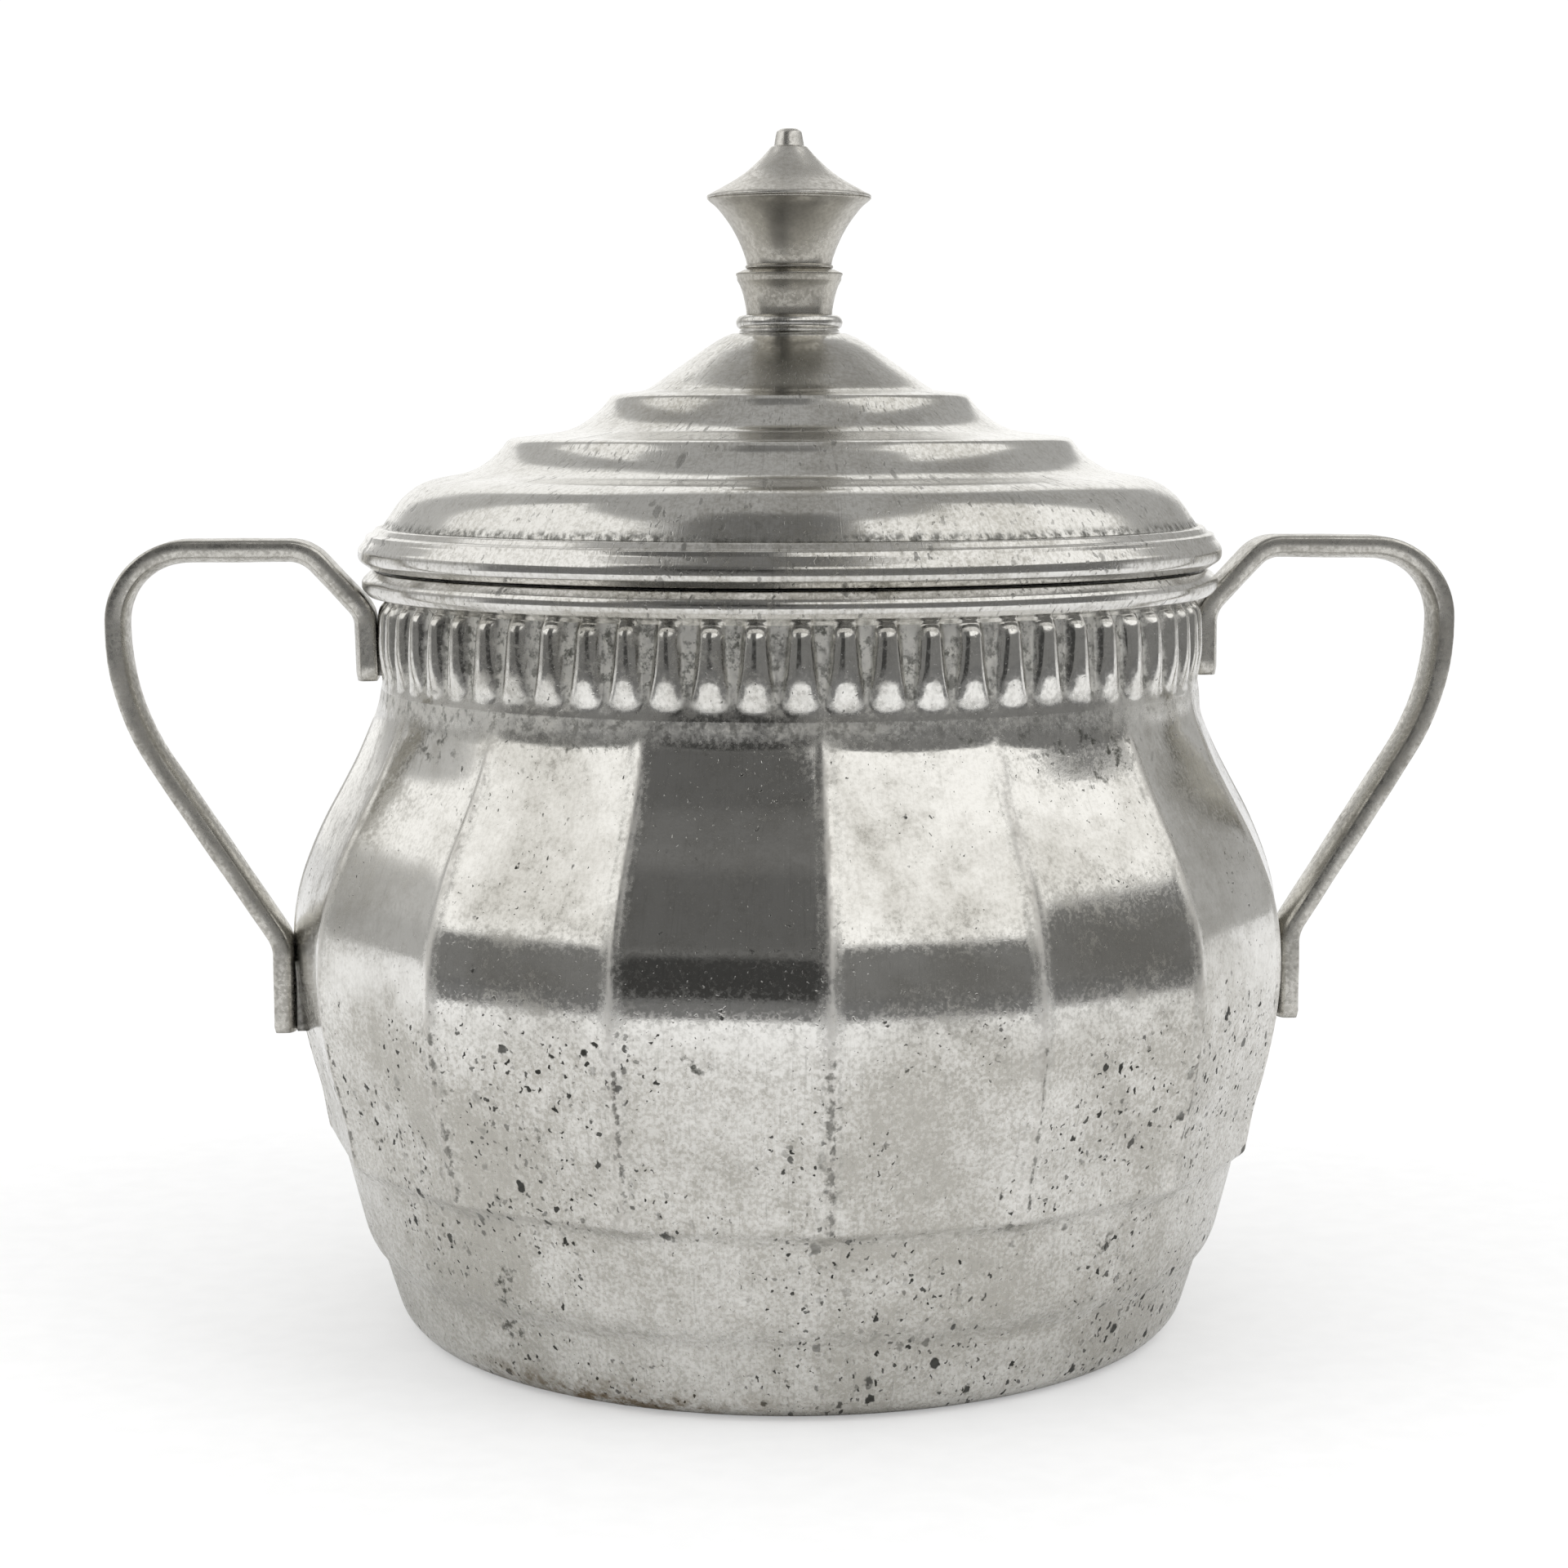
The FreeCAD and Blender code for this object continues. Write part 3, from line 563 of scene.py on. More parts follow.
    def wobbly_wall(self):
        """The unrolled wall with a fine wobble, which makes round cells ragged."""
        warp = self.add("ShaderNodeTexNoise")
        self.link(self.wall, warp.inputs["Vector"])
        warp.inputs["Scale"].default_value = 1300.0
        shrink = self.add("ShaderNodeVectorMath", operation="SCALE")
        self.link(warp.outputs["Color"], shrink.inputs[0])
        shrink.inputs["Scale"].default_value = 0.0012
        wobble = self.add("ShaderNodeVectorMath", operation="ADD")
        self.link(self.wall, wobble.inputs[0])
        self.link(shrink.outputs[0], wobble.inputs[1])
        tall = self.add("ShaderNodeMapping")
        self.link(wobble.outputs[0], tall.inputs["Vector"])
        tall.inputs["Scale"].default_value = (1.0, 0.82, 1.0)
        return tall.outputs[0]

    def pits(self, strength):
        """Dark pits of four sizes, in patches and densest in the pitted zone."""
        wall = self.wobbly_wall()
        patchy = self.smooth(self.noise(self.place, 75.0, 3.0), 0.40, 0.58, 0.25, 1.0)
        crowding = self.smooth(self.times(patchy, self.zoned(0.42, 1.0)), 0.0, 1.0, 0.2, 1.0)
        dark = None
        for scale, size, threshold in PIT_LAYERS:
            spots = self.cells(wall, scale)
            chance = self.add("ShaderNodeSeparateColor")
            self.link(spots.outputs["Color"], chance.inputs[0])
            reach = self.times(self.smooth(chance.outputs[0], threshold, 0.98), size)
            inside = self.math("SUBTRACT", self.times(reach, crowding), spots.outputs["Distance"])
            inside = self.smooth(self.math("DIVIDE", inside, size * 0.35), 0.0, 1.0)
            spot = self.times(inside, self.smooth(chance.outputs[1], 0.1, 0.9, 0.25, 1.0))
            dark = spot if dark is None else self.math("MAXIMUM", dark, spot)
        dark = self.times(dark, strength)
        self.coat(dark, PIT, 0.35)
        self.relief = self.math("SUBTRACT", self.relief, self.times(dark, 0.8))

    def value(self, name):
        """A value that the mesh holds at its vertices."""
        return self.add("ShaderNodeAttribute", attribute_name=name).outputs["Fac"]

    def stains(self):
        """Patina and painted shade lines by the ridges, polish film, rubbed ridges that also carry
        a painted highlight, and crust, where the mesh's values put them.
        """
        patina_and_shade = self.value("patina_and_shade")
        ragged = self.noise(self.place, 800.0, 4.0, 0.65)
        ragged = self.plus(patina_and_shade, self.smooth(ragged, 0.3, 0.7, -0.5, 0.5))
        # Patina stains, and the painted shade lines beside the ridges.
        stain_and_shade = self.times(self.smooth(ragged, 0.35, 0.9), self.smooth(patina_and_shade, 0.02, 0.2))
        self.coat(stain_and_shade, PATINA_AND_SHADE, 0.25, 0.9)
        grainy = self.smooth(self.noise(self.place, 850.0, 5.0, 0.75), 0.46, 0.62)
        film = self.times(self.value("film"), self.smooth(self.mottle, 0.3, 0.65, 0.55, 1.0))
        self.coat(film, self.mix(grainy, PALE_FILM, DARK_FILM), 0.50)
        # Rubbed metal along the ridges, which is also a painted highlight line.
        worn = self.times(self.value("worn"), self.smooth(self.mottle, 0.30, 0.62, 0.45, 1.0))
        self.coat(worn, RUBBED_AND_HIGHLIGHT, 0.42, 0.6)
        broken = self.smooth(self.noise(self.place, 500.0, 6.0, 0.7), 0.42, 0.62)
        self.coat(self.times(self.value("residue"), broken), CRUST, 0.4)

    def finish(self):
        """Lead the layers into one metallic surface."""
        bump = self.add("ShaderNodeBump")
        bump.inputs["Strength"].default_value = 0.30
        bump.inputs["Distance"].default_value = 0.00010
        self.link(self.relief, bump.inputs["Height"])
        surface = self.add("ShaderNodeBsdfPrincipled")
        self.link(self.colour, surface.inputs["Base Color"])
        surface.inputs["Metallic"].default_value = 1.0
        self.link(self.math("MINIMUM", self.roughness, ROUGHEST), surface.inputs["Roughness"])
        self.link(bump.outputs[0], surface.inputs["Normal"])
        self.link(surface.outputs[0], self.add("ShaderNodeOutputMaterial").inputs["Surface"])


def silver(name, clean, dull, smoothness, pits=0.0, pits_top=200.0, stains=False, haze=0.5,
           wear=0.0, underside_light=0.0, seam=None, grain=0.0):
    """Worn silver plate: cloudy tarnish, dark pits, hairline scratches and soft dents."""
    material = bpy.data.materials.new(name)
    material.use_nodes = True
    metal = Metal(material.node_tree, pits_top)
    metal.tarnish(clean, dull, smoothness, wear, haze)
    if grain:
        metal.dirt(grain)
    metal.scratches()
    if seam:
        metal.seam(seam)
    # Painted light on the downward-facing surfaces.
    if underside_light:
        metal.underside_light(underside_light)
    if pits:
        metal.pits(pits)
    if stains:
        metal.stains()
    metal.finish()
    return material


# ------------------------------------------------------------------ bowl

BASE_OUTLINE = ((41.6, 0.0), (42.4, 0.35), (43.2, 1.05), (43.85, 1.9), (44.25, 2.8), (44.75, 4.4),
                (45.25, 6.0), (45.6, 7.2), (45.95, 8.2), (46.4, 8.9), (47.0, 9.7), (47.5, 10.6),
                (47.9, 11.7), (48.5, 14.0), (49.15, 16.6), (49.6, 18.4), (49.85, 19.4))
BELLY_OUTLINE = (
    (50.15, 19.9), (50.75, 20.45), (51.4, 20.95), (51.75, 21.35), (51.95, 22.2), (52.7, 26.2),
    (53.65, 29.7), (54.45, 33.3), (55.05, 36.8), (55.4, 41.5), (55.2, 45.7), (54.55, 49.2),
    (53.35, 52.7), (51.75, 56.3), (49.85, 59.8), (47.95, 63.4), (46.4, 66.9), (45.9, 68.05),
    (45.56, 69.2), (45.32, 70.4), (45.14, 71.3), (44.95, 72.2), (44.74, 73.4), (44.54, 74.8),
    (44.35, 76.5), (44.2, 78.2), (44.05, 80.0),
)
# Heights, and how far the middle of a panel is out there: 1 is round with the ridges.
PANEL_MIDDLES = ((19.3, 1.0), (19.9, 0.9965), (20.45, 0.9895), (20.95, 0.9835), (21.4, 0.9808),
                 (59.0, 0.9808), (63.4, 0.9825), (65.2, 0.9853), (66.9, 0.9881), (68.4, 0.9921),
                 (69.6, 0.9967), (70.6, 0.9989), (71.3, 1.0))
GADROON_ZONE = (71.0, 81.1)
# Heights, and the radius over the middle of a lobe there.
GADROON_CREST = (
    (71.2, 45.15), (71.8, 45.17), (72.4, 45.22), (73.0, 45.31), (73.8, 45.44), (74.6, 45.55),
    (75.2, 45.59), (76.0, 45.6), (78.4, 45.5), (79.2, 45.4), (79.6, 45.25), (80.0, 45.0),
    (80.4, 44.6), (80.8, 44.05),
)
# Heights, and half the width of a lobe there.
GADROON_HALF = ((72.5, 1.90), (74.5, 1.76), (76.0, 1.60), (80.0, 1.30))
GADROON_TIP = 73.15
LOBE_SHARES = (-0.5, -0.46, -0.42, -0.385, -0.35, -0.29, -0.22, -0.12,
               0.0, 0.12, 0.22, 0.29, 0.35, 0.385, 0.42, 0.46)
ARRIS = math.radians(0.42)
BELLY_FOOT = 20.4
BASE_STEP = 9.6
INSIDE_HEIGHTS = (3.2, 79)
# Radii that turn an angle into millimetres along the wall.
NECK_REACH, BELLY_REACH, STAIN_REACH = 45.0, 55, 51
PANEL_FLAT = math.cos(PANEL_TURN / 2)


def column_turns():
    """Turns of the fine columns over the lobes, and the coarse ones of the belly."""
    fine, coarse = [], []
    for panel in range(PANELS):
        start = panel * PANEL_TURN
        shares = [(lobe + 0.5 + share) * LOBE_TURN
                  for lobe in range(LOBES_PER_PANEL) for share in LOBE_SHARES]
        fine += [start + turn for turn in shares]
        half = [shares[index] for index in (0, 1, 2, 3, 4, 5, 6, 8, 16, 24, 32)]
        other = [PANEL_TURN - turn for turn in half[-2:0:-1]]
        coarse += [start + turn for turn in half + other]
    return np.array(fine), np.array(coarse)


def gadroon_lift(turns, height):
    """How far the gadroons stand out of the neck at this height."""
    # Each lobe strays a little in place, tip, width and crest.
    luck = np.random.default_rng(11).uniform(-1, 1, (4, PANELS * LOBES_PER_PANEL))
    index = np.floor(turns / LOBE_TURN).astype(int) % (PANELS * LOBES_PER_PANEL)
    aside = ((turns / LOBE_TURN) % 1 - 0.5) * LOBE_TURN * NECK_REACH + luck[0][index] * 0.10
    tip = GADROON_TIP + luck[1][index] * 0.12
    half = np.interp(height, *zip(*GADROON_HALF)) + luck[2][index] * 0.06
    below = np.maximum(tip - height, 0) / 1.8
    away = np.sqrt((aside / half) ** 2 + below ** 2)
    heights, radii = zip(*GADROON_CREST)
    crest = np.interp(height + luck[3][index] * 0.12, heights, radii)
    core = np.interp(height, [row[1] for row in BELLY_OUTLINE], [row[0] for row in BELLY_OUTLINE])
    full = np.maximum(crest - core, 0)
    return full * np.maximum(1 - away ** 2, 0) ** 0.62


def belly_ring(turns, ridge, height):
    """Radii of a panelled ring: flat panels between worn ridges, round at both ends."""
    drift = 0.0022 * np.sin(height * 0.23 + np.round(turns / PANEL_TURN) * 2.4)
    from_ridge = np.abs((turns / PANEL_TURN + 0.5) % 1 - 0.5) * PANEL_TURN
    from_ridge = np.abs(from_ridge + drift * ease(from_ridge, 0.08, 0.0))
    across = PANEL_TURN / 2 - np.sqrt(from_ridge ** 2 + ARRIS ** 2)
    flat = PANEL_FLAT / np.cos(across)
    heights, middles = zip(*PANEL_MIDDLES)
    rounded = (np.interp(height, heights, middles) - PANEL_FLAT) / (1 - PANEL_FLAT)
    aside = from_ridge * BELLY_REACH
    fold = 0.09 * hill(aside, 0.0, 0.5) - 0.04 * hill(aside, 1.0, 0.35)
    return ridge * (flat * (1 - rounded) + rounded) + fold * (1 - rounded)


def bowl_rows():
    """Outline of the whole bowl wall: outside up, over the mouth and down the inside."""
    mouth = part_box("bowl_body")[1].z / MM
    outside = np.vstack([through(BASE_OUTLINE, 3), through(BELLY_OUTLINE, 4)])
    below = outside[outside[:, 1] < GADROON_ZONE[0]]
    band = np.array([(np.interp(height, outside[:, 1], outside[:, 0]), height)
                     for height in np.arange(GADROON_ZONE[0], GADROON_ZONE[1], 0.3)])
    neck = np.array([(44.05, 81.5), (44.05, mouth - 0.3), (43.85, mouth), (43.35, mouth),
                     (43.1, mouth - 0.3)])
    inside = []
    for radius, height in outside[::-4]:
        if INSIDE_HEIGHTS[0] < height < INSIDE_HEIGHTS[1]:
            inside.append((radius - WALL, height))
    foot = np.array([(42.7, 2.55), (41.08, 2.55), (41.08, 0.25), (41.3, 0.0)])
    return below, band, neck, np.array(inside), foot


BELLY_STAINS = (
    # azimuth in degrees from the front, height, half size across and up in mm, strength
    (0.0, 33.0, 0.55, 11.0, 0.62),
    (-45.0, 25.5, 0.9, 5.0, 0.60),
    (-41.0, 12.5, 1.3, 3.4, 0.75),
    (-43.0, 7.0, 2.2, 2.4, 0.35),
    (36.0, 16.5, 3.0, 1.6, 0.30),
    (-33.0, 30.0, 1.6, 1.6, 0.35),
    (21.0, 21.0, 3.2, 0.8, 0.30),
    (-14.0, 38.5, 1.3, 1.1, 0.42),
    (38.0, 67.0, 9.0, 3.4, 0.42),
    (20.0, 69.5, 7.0, 1.4, 0.30),
    (-30.0, 69.0, 12.0, 1.8, 0.28),
    (-57.0, 68.0, 6.0, 3.0, 0.34),
)


def belly_stains(turns, height):
    """Dark tarnish spots on the belly."""
    total = np.zeros(len(turns))
    for azimuth, middle, across, up, strength in BELLY_STAINS:
        away = (turns + math.pi / 2 - math.radians(azimuth) + math.pi) % math.tau - math.pi
        spread = (away * STAIN_REACH / across) ** 2 + ((height - middle) / up) ** 4
        total += strength * np.exp(-spread)
    return total


def make_bowl(material):
    """The bowl's wall as one closed mesh."""
    fine, coarse = column_turns()
    below, band, neck, inside, foot = bowl_rows()
    vertices, rings = [], []
    looks = {"patina_and_shade": [], "film": [], "residue": [], "worn": []}

    def add_ring(turns, radii, height, patina_and_shade=0.0, film=0.0, residue=0.0, worn=0.0):
        rings.append((len(vertices), turns))
        heights = np.full(len(turns), height)
        vertices.extend(zip(radii * np.cos(turns), radii * np.sin(turns), heights))
        for name, value in zip(looks, (patina_and_shade, film, residue, worn)):
            looks[name].extend(np.broadcast_to(value, len(turns)))

    for radius, height in below:
        radii = belly_ring(coarse, radius, height)
        dents = wander(coarse, height, 3) * 0.10 * ease(height, 1.5, 8) * ease(height, 69, 61)
        film = 0.30 * hill(height, BELLY_FOOT, 0.6) + 0.22 * hill(height, BASE_STEP, 0.9)
        past_ridge = ((coarse / PANEL_TURN + 0.5) % 1 - 0.5) * PANEL_TURN * radius
        from_ridge = np.abs(past_ridge)
        panelled = ease(height, 20.8, 22.0) * ease(height, 70.0, 66.0)
        # A painted shade line just past each ridge, on the lower half.
        painted_ridge_shade = 0.62 + 0.14 * np.cos(np.round(coarse / PANEL_TURN) * 2.4 + height * 0.35)
        painted_ridge_shade = painted_ridge_shade * panelled * ease(height, 42.0, 37.0) * hill(past_ridge, 0.3, 0.3)
        # Pale film on both sides of a ridge, and rubbed metal along it that is also a painted
        # highlight.
        edges = 0.38 * panelled * hill(from_ridge, 0.95, 0.28)
        worn = panelled * hill(from_ridge, 0.0, 0.55)
        leftward = 0.5 + 0.5 * np.cos(coarse + math.pi / 2 + math.radians(50))
        film = film + (0.36 + 0.34 * leftward ** 3) * ease(height, 67.3, 70.4)
        crust = ease(height, 4.4, 1.0) * np.maximum(np.cos(coarse + math.pi / 2 + 0.55), 0) ** 14
        # Real stains and the painted ridge shade share one value.
        patina_and_shade = np.maximum(belly_stains(coarse, height), painted_ridge_shade)
        add_ring(coarse, radii + dents, height, patina_and_shade, film + edges, crust, worn)
    for radius, height in band:
        lift = gadroon_lift(fine, height)
        gap = 1 - ease(lift, 0.03, 0.5)
        add_ring(fine, belly_ring(fine, radius, height) + lift, height, 0.0,
                 gap * ease(height, 71.2, 73.5) * 0.85 + 0.12)
    for radius, height in neck:
        add_ring(coarse, np.full(len(coarse), radius), height, 0.0, 0.6)
    for radius, height in inside:
        add_ring(coarse, belly_ring(coarse, radius, height), height, 0.0, 0.25)
    for radius, height in foot:
        add_ring(coarse, np.full(len(coarse), radius), height, 0.2, 0.4, 0.2)

    faces = ring_faces(rings)
    bowl = make_object("bowl_wall", np.array(vertices), faces, material, looks)
    weighted = bowl.modifiers.new("even_normals", "WEIGHTED_NORMAL")
    weighted.weight = 60
    stand_for(bowl, "bowl_body", "root")


def make_rim_bead(material):
    """The half-round bead outside the mouth, with a cove under it."""
    radius, foot, top = place_of("body_rim_moulding")
    neck = 44.12
    outline = round_corners([
        (neck, foot + 0.15), (neck + 0.5, foot + 0.25, 0.2), (neck + 1.1, foot + 0.75, 1.2),
        (radius - 0.75, foot + 1.0, 0.5), (radius - 0.05, foot + 1.75, 0.9),
        (radius - 0.05, top - 1.1, 0.9), (radius - 1.2, top - 0.05, 0.7), (neck, top - 0.05)])
    bead = turned("bowl_rim_bead", outline, material, BEAD_COLUMNS, 0.03, 21)
    stand_for(bead, "body_rim_moulding", "root")


# ------------------------------------------------------------------ lid

LID_OUTLINE = (
    # shoulder
    (44.92, 88.3), (44.6, 88.8), (44.2, 89.4), (43.8, 90.0), (43.35, 90.65), (42.85, 91.28),
    (42.25, 91.9), (41.6, 92.43), (40.9, 92.9), (40.0, 93.32), (38.9, 93.65), (37.8, 93.86),
    # first terrace
    (36.8, 94.03), (36.0, 94.2), (35.2, 94.45), (34.5, 94.75), (33.8, 95.15), (33.2, 95.55),
    (32.65, 96.0), (32.12, 96.5), (31.68, 96.98), (31.35, 97.4), (31.0, 97.8), (30.6, 98.02),
    (30.0, 98.13), (28.6, 98.29), (27.2, 98.45), (26.0, 98.6), (25.0, 98.78),
    # second terrace
    (24.2, 99.0), (23.4, 99.32), (22.7, 99.7), (22.05, 100.14), (21.45, 100.62), (20.9, 101.12),
    (20.45, 101.6), (20.1, 102.05), (19.82, 102.42), (19.5, 102.68), (19.1, 102.79), (18.5, 102.88),
    (17.4, 103.03), (16.5, 103.14), (15.9, 103.28),
    # crown
    (15.3, 103.6), (14.5, 104.13), (13.4, 104.9), (12.1, 105.82), (10.8, 106.74), (9.7, 107.52),
    (8.6, 108.25), (7.5, 108.9), (6.4, 109.4),
)


def make_lid(material):
    """The spun dome with its terraces, as a closed shell."""
    radius, foot, top = place_of("lid_shell")
    outside = np.vstack([
        np.array([(radius - 0.02, foot + 0.1), (radius - 0.02, foot + 3.6)]),
        through(LID_OUTLINE, 4),
        np.array([(5.6, top - 0.1), (1.7, top - 0.08)])])
    inside = outside[::-1] - np.array([0, WALL])
    inside = inside[inside[:, 0] < radius - 2.5]
    rim = np.array([(radius - 1.6, 88.2), (radius - 0.95, 87.4), (radius - 0.95, foot + 0.1)])
    lid = turned("lid_dome", np.vstack([outside, inside, rim]), material, LID_COLUMNS, 0.06, 31)
    stand_for(lid, "lid_shell", "lid")


def make_lid_bead(material):
    """The bead round the lid's edge and the cove above it."""
    radius, foot, _ = place_of("lid_rim_moulding")
    inner = place_of("lid_shell")[0]
    outline = round_corners([
        (inner, foot), (radius - 1.35, foot, 0.5), (radius - 0.02, foot + 0.9, 0.9),
        (radius - 0.02, foot + 2.1, 1.0), (radius - 0.8, foot + 3.1, 0.7),
        (radius - 0.95, foot + 3.6, 0.2), (radius - 1.5, foot + 3.75, 0.4),
        (radius - 2.0, foot + 4.35, 0.5), (inner, foot + 4.5)])
    bead = turned("lid_rim_bead", outline, material, BEAD_COLUMNS, 0.03, 41)
    stand_for(bead, "lid_rim_moulding", "lid")


# ------------------------------------------------------------------ finial

def finial_piece(name, outline, material, columns, seed, node):
    """One turned piece of the finial, which rides on the lid."""
    piece = turned(name, outline, material, columns, 0.02, seed)
    stand_for(piece, node, "lid")


def make_finial(material, collar_material, cap_material):
    """Collar, spool, cup and cap, each turned from its own outline."""
    bore = place_of("finial_stud")[0] + 0.02

    radius, foot, top = place_of("finial_collar")
    bulge, rise = 0.85, 0.82
    round_edge = [(radius - bulge + bulge * math.cos(turn), foot + 1.0 + rise * math.sin(turn))
                  for turn in np.radians(np.arange(-65, 91, 12))]
    ring = np.array([(bore, foot), (radius - 0.35, foot), (radius - 0.4, foot + 0.2), *round_edge,
                     (4.78, foot + 1.7), (4.78, top), (bore, top)])
    finial_piece("finial_ring", ring, collar_material, FINIAL_COLUMNS, 51, "finial_collar")

    radius, foot, top = place_of("finial_spool")
    spool = np.vstack([
        round_corners([(bore, foot), (4.72, foot, 0.1), (4.75, foot + 0.9, 0.8)]),
        through([(4.82, foot + 1.3), (5.05, foot + 2.4), (5.4, foot + 3.5), (5.72, foot + 4.1)], 4),
        round_corners([(radius - 0.14, foot + 4.5), (radius - 0.02, foot + 4.7, 0.08),
                       (radius - 0.02, foot + 4.86, 0.08), (5.0, top - 0.07, 0.2),
                       (4.7, top, 0.1), (bore, top)], 12)])
    finial_piece("finial_spool_turned", spool, material, FINIAL_COLUMNS, 52, "finial_spool")

    radius, foot, top = place_of("finial_cup")
    cup = np.vstack([
        round_corners([(bore, foot), (4.6, foot, 0.05), (4.62, foot + 0.08, 0.05),
                       (4.82, foot + 0.14, 0.06), (4.84, foot + 0.36, 0.1),
                       (4.66, foot + 0.46, 0.08), (4.69, foot + 0.7)], 12),
        through([(4.8, foot + 1.2), (5.2, foot + 2.3), (5.7, foot + 3.4), (6.3, foot + 4.5),
                 (7.05, foot + 5.6), (8.0, foot + 6.75), (radius - 0.25, top - 0.28)], 5),
        np.array([(radius - 0.04, top - 0.06), (radius - 0.1, top), (0.0, top), (0.0, top - 3.1),
                  (bore, top - 3.1)])])
    finial_piece("finial_cup_turned", cup, material, CUP_COLUMNS, 53, "finial_cup")

    radius, foot, top = place_of("finial_cap")
    cap = np.vstack([
        np.array([(0.0, foot), (radius - 0.12, foot), (radius - 0.02, foot + 0.12),
                  (radius - 0.08, foot + 0.3)]),
        through([(radius - 0.5, foot + 0.52), (7.3, foot + 1.2), (5.75, foot + 2.1),
                 (4.5, foot + 3.0), (3.45, foot + 3.95), (2.6, foot + 4.8),
                 (1.95, foot + 5.55)], 5),
        round_corners([(1.8, top - 1.95), (1.66, top - 1.85, 0.05), (1.38, top - 0.35, 0.3),
                       (0.9, top - 0.02, 0.4), (0.0, top)], 12)])
    finial_piece("finial_cap_turned", cap, cap_material, CUP_COLUMNS, 54, "finial_cap")


# ------------------------------------------------------------------ handles

# Corners of each strip's middle line: distance from the axis, height and rounding.
HANDLE_BENDS = {
    "left": ((46.7, 71.6, 0), (46.9, 79.0, 3.4), (53.2, 85.85, 4.4), (73.75, 85.85, 7.8),
             (73.75, 69.4, 30.0), (56.3, 42.5, 5.0), (56.3, 32.5, 0)),
    "right": ((46.7, 71.6, 0), (46.7, 79.0, 3.8), (53.2, 85.85, 4.0), (73.3, 85.6, 9.4),
              (73.3, 69.4, 30.0), (56.3, 42.5, 5.0), (56.3, 32.5, 0)),
}
HANDLE_WIDTH = 5.8
HANDLE_THICKNESS = 2.5
HANDLE_CROWN = 1.05
HANDLE_STEP = 0.9


def strip_section():
    """D section of the strip, as (across, outward): crowned outside, soft edges."""
    half = HANDLE_WIDTH / 2
    flat = -HANDLE_THICKNESS / 2
    shoulder = HANDLE_THICKNESS / 2 - HANDLE_CROWN
    side = [(half - 0.35, flat), (half - 0.1, flat + 0.1), (half, flat + 0.35),
            (half, shoulder - 0.15), (half - 0.06, shoulder)]
    crown = [(half * math.sin(turn), shoulder + HANDLE_CROWN * math.cos(turn))
             for turn in np.radians((78, 66, 54, 42, 30, 18, 6))]
    right = side + crown
    left = [(-across, outward) for across, outward in right[::-1]]
    return np.array(right + left)


def make_handle(side, bends, name, node, material):
    """One bent strip, swept along the middle line of its thickness."""
    line = round_corners(bends, 4.0)
    steps = np.linalg.norm(np.diff(line, axis=0), axis=1)
    travelled = np.concatenate([[0], np.cumsum(steps)])
    samples = np.unique(np.concatenate([travelled, np.arange(0, travelled[-1], HANDLE_STEP)]))
    path = np.column_stack([np.interp(samples, travelled, line[:, axis]) for axis in (0, 1)])
    along = np.gradient(path, samples, axis=0)
    along /= np.linalg.norm(along, axis=1)[:, None]
    section = strip_section()
    vertices, rings = [], []
    for place, way, distance in zip(path, along, samples):
        outward = np.array([way[1], -way[0]])
        worn = 1 + 0.012 * math.sin(distance * 0.31) + 0.008 * math.sin(distance * 0.83 + 1)
        end = min(distance, samples[-1] - distance)
        taper = 1 - 0.10 * max(0, 1 - end / 0.35) ** 2
        rings.append(len(vertices))
        for across, out in section:
            spot = place + outward * out * worn * taper
            vertices.append((spot[0] * side, across * worn * taper, spot[1]))
    count = len(section)
    faces = []
    for low, high in zip(rings, rings[1:]):
        for column in range(count):
            after = (column + 1) % count
            quad = (low + column, low + after, high + after, high + column)
            faces.append(quad if side < 0 else quad[::-1])
    first = tuple(range(rings[0], rings[0] + count))
    last = tuple(range(rings[-1], rings[-1] + count))
    faces += [first[::-1], last] if side < 0 else [first, last[::-1]]
    handle = make_object(name, np.array(vertices), faces, material)
    stand_for(handle, node, "root")


# Distance of each foot's back face from the axis, and the pad's lowest and highest point.
SOLDER_PADS = ((45.5, 72.2, 77.9), (55.1, 32.7, 40.5))
PAD_HALF_WIDTH = 2.55
PAD_ROWS, PAD_COLUMNS = 14, 9


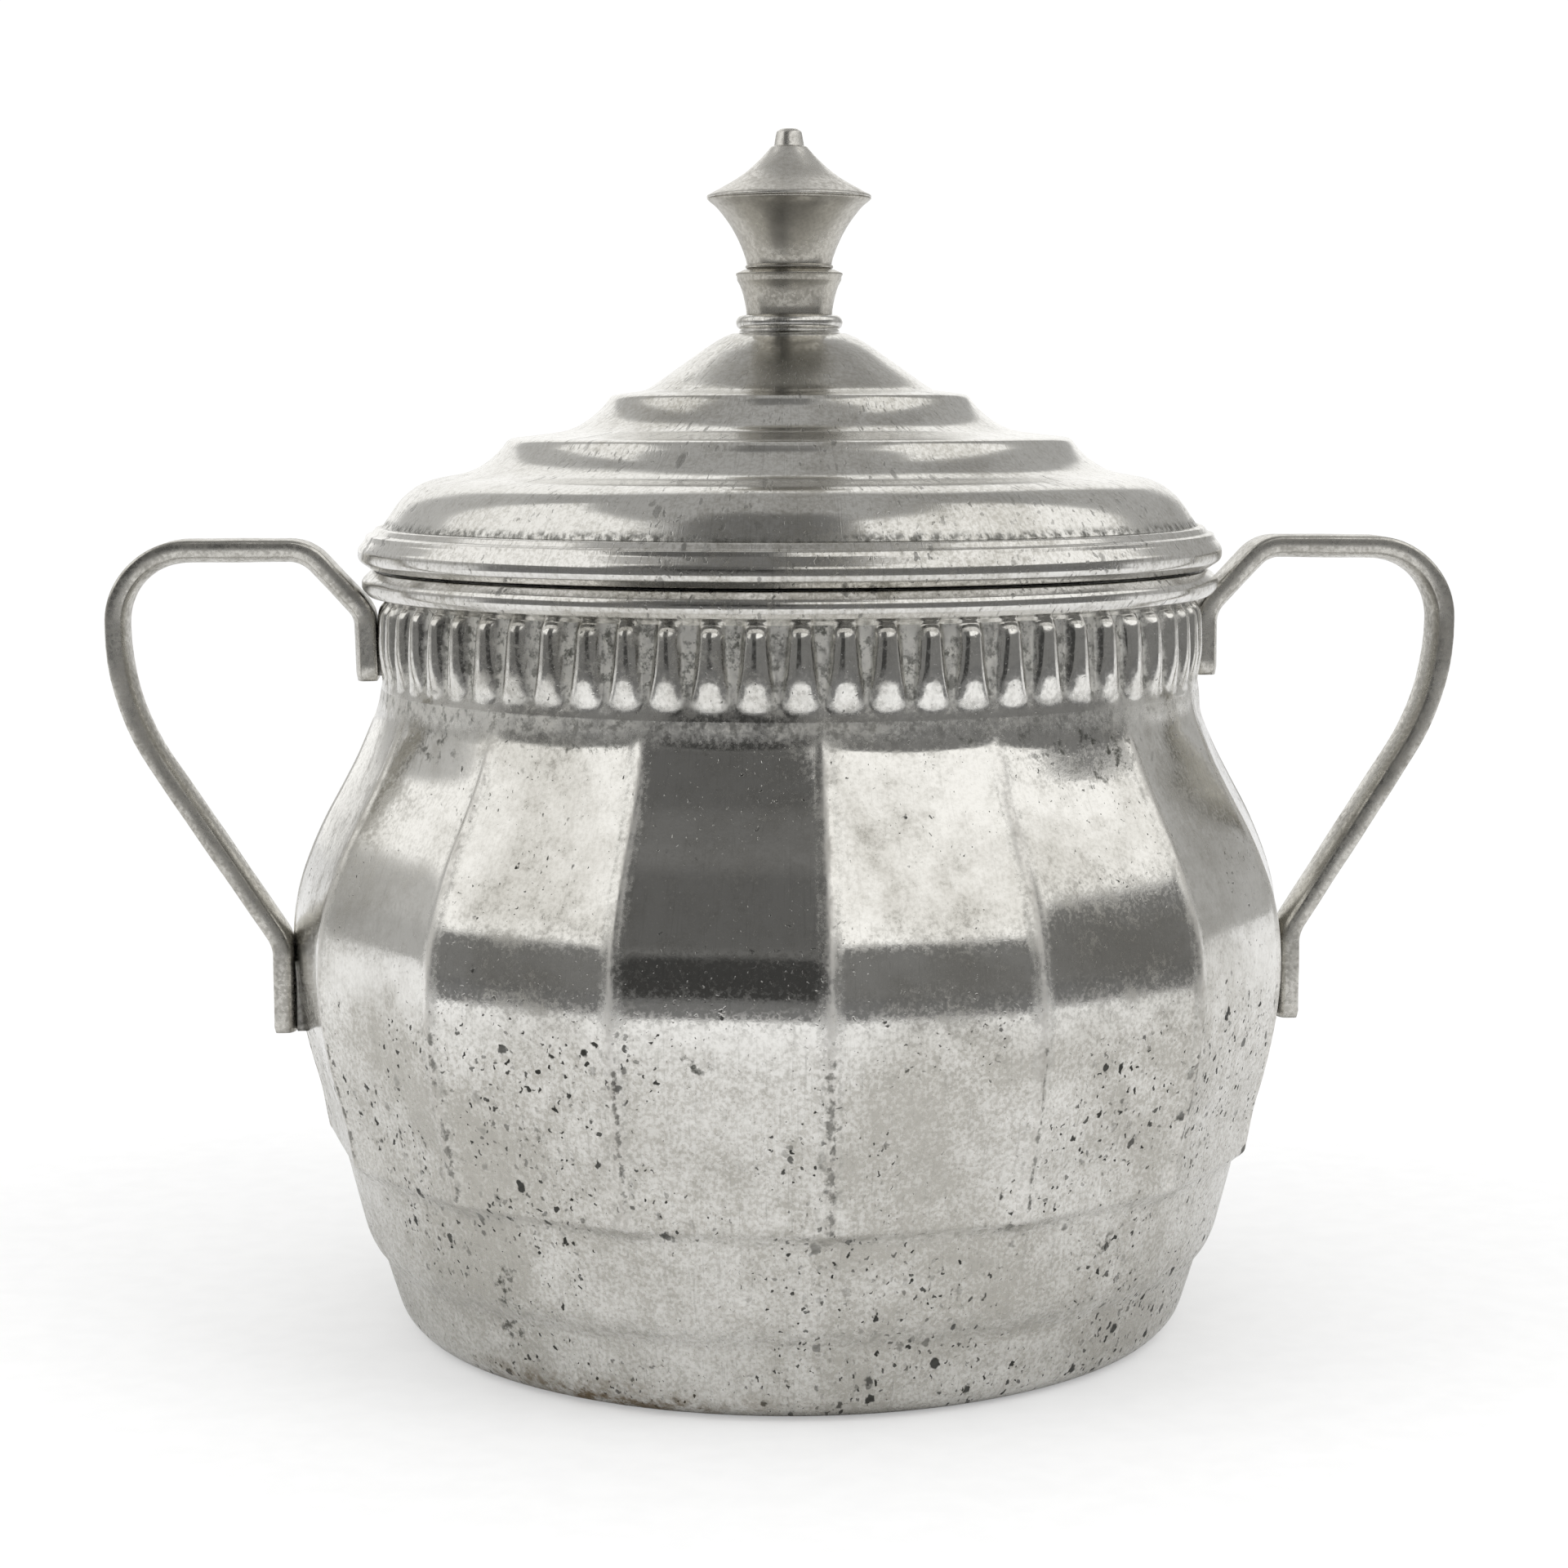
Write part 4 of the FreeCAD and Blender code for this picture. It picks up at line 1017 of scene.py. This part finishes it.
def make_solder(side, name, node, material):
    """Solder behind both feet of a handle: two small filleted pads."""
    outline = np.vstack([through(BASE_OUTLINE, 4), through(BELLY_OUTLINE, 5)])
    vertices, faces = [], []
    for face_x, low, high in SOLDER_PADS:
        start = len(vertices)
        heights = np.linspace(low, high, PAD_ROWS)
        spans = np.linspace(-PAD_HALF_WIDTH, PAD_HALF_WIDTH, PAD_COLUMNS)
        for depth in (0, 1):
            for height in heights:
                wall = np.interp(height, outline[:, 1], outline[:, 0]) - 0.5
                for span in spans:
                    hollow = 0.25 * (span / PAD_HALF_WIDTH) ** 2
                    reach = wall if depth == 0 else max(face_x + 0.15 - hollow, wall + 0.3)
                    vertices.append((reach * side, span, height))

        def index(depth, row, column):
            return start + (depth * PAD_ROWS + row) * PAD_COLUMNS + column

        quads = []
        for row in range(PAD_ROWS - 1):
            for column in range(PAD_COLUMNS - 1):
                quads.append([index(1, row, column), index(1, row, column + 1),
                              index(1, row + 1, column + 1), index(1, row + 1, column)])
                quads.append([index(0, row, column), index(0, row + 1, column),
                              index(0, row + 1, column + 1), index(0, row, column + 1)])
            for column, flip in ((0, False), (PAD_COLUMNS - 1, True)):
                quad = [index(0, row, column), index(1, row, column),
                        index(1, row + 1, column), index(0, row + 1, column)]
                quads.append(quad[::-1] if flip else quad)
        for column in range(PAD_COLUMNS - 1):
            for row, flip in ((0, True), (PAD_ROWS - 1, False)):
                quad = [index(0, row, column), index(1, row, column),
                        index(1, row, column + 1), index(0, row, column + 1)]
                quads.append(quad[::-1] if flip else quad)
        faces += [tuple(quad if side > 0 else quad[::-1]) for quad in quads]
    pads = make_object(name, np.array(vertices), faces, material)
    stand_for(pads, node, "root")


# ------------------------------------------------------------------ everything

make_camera()
make_world()
make_lights()
make_floor()

bowl_silver = silver("bowl_silver", CLEAN, DULL, 0.05, pits=0.95, pits_top=40.5, stains=True,
                     haze=0.40, wear=0.40, grain=0.30)
lid_silver = silver("lid_silver", LID_CLEAN, DULL, 0.045, pits=0.4, haze=0.12, seam=LID_SEAM,
                    grain=0.30)
bead_silver = silver("bead_silver", BEAD_CLEAN, DULL, 0.05, pits=0.5, haze=0.25, grain=0.35)
handle_silver = silver("handle_silver", STRIP_CLEAN, STRIP_DULL, 0.19, haze=0.35, grain=0.2)
# The finial's downward faces are painted paler, as painted light.
finial_silver = silver("finial_silver", FINIAL_CLEAN, FINIAL_DULL, 0.16, haze=0.15,
                       underside_light=0.2, grain=0.12)
cap_silver = silver("cap_silver", CAP_CLEAN, CAP_DULL, 0.18, haze=0.2, grain=0.12)
solder_grey = silver("solder_grey", SOLDER_CLEAN, SOLDER_DULL, 0.45)
inner_brass = silver("inner_brass", BRASS_CLEAN, BRASS_DULL, 0.25)

make_bowl(bowl_silver)
make_rim_bead(bead_silver)
make_lid(lid_silver)
make_lid_bead(bead_silver)
make_finial(finial_silver, bead_silver, cap_silver)
for side, word in ((-1, "left"), (1, "right")):
    make_handle(side, HANDLE_BENDS[word], f"{word}_handle_strip", f"{word}_handle",
                handle_silver)
    make_solder(side, f"{word}_solder_pads", f"{word}_handle_solder", solder_grey)

CAD_FINISHES = {
    "base_disc": bead_silver,
    "lid_bezel": bead_silver,
    "finial_stud": inner_brass,
    "finial_washer": inner_brass,
    "finial_nut": inner_brass,
}
for node, finish in CAD_FINISHES.items():
    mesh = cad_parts[node].data
    mesh.materials.clear()
    mesh.materials.append(finish)

bpy.context.scene.view_settings.view_transform = "Standard"
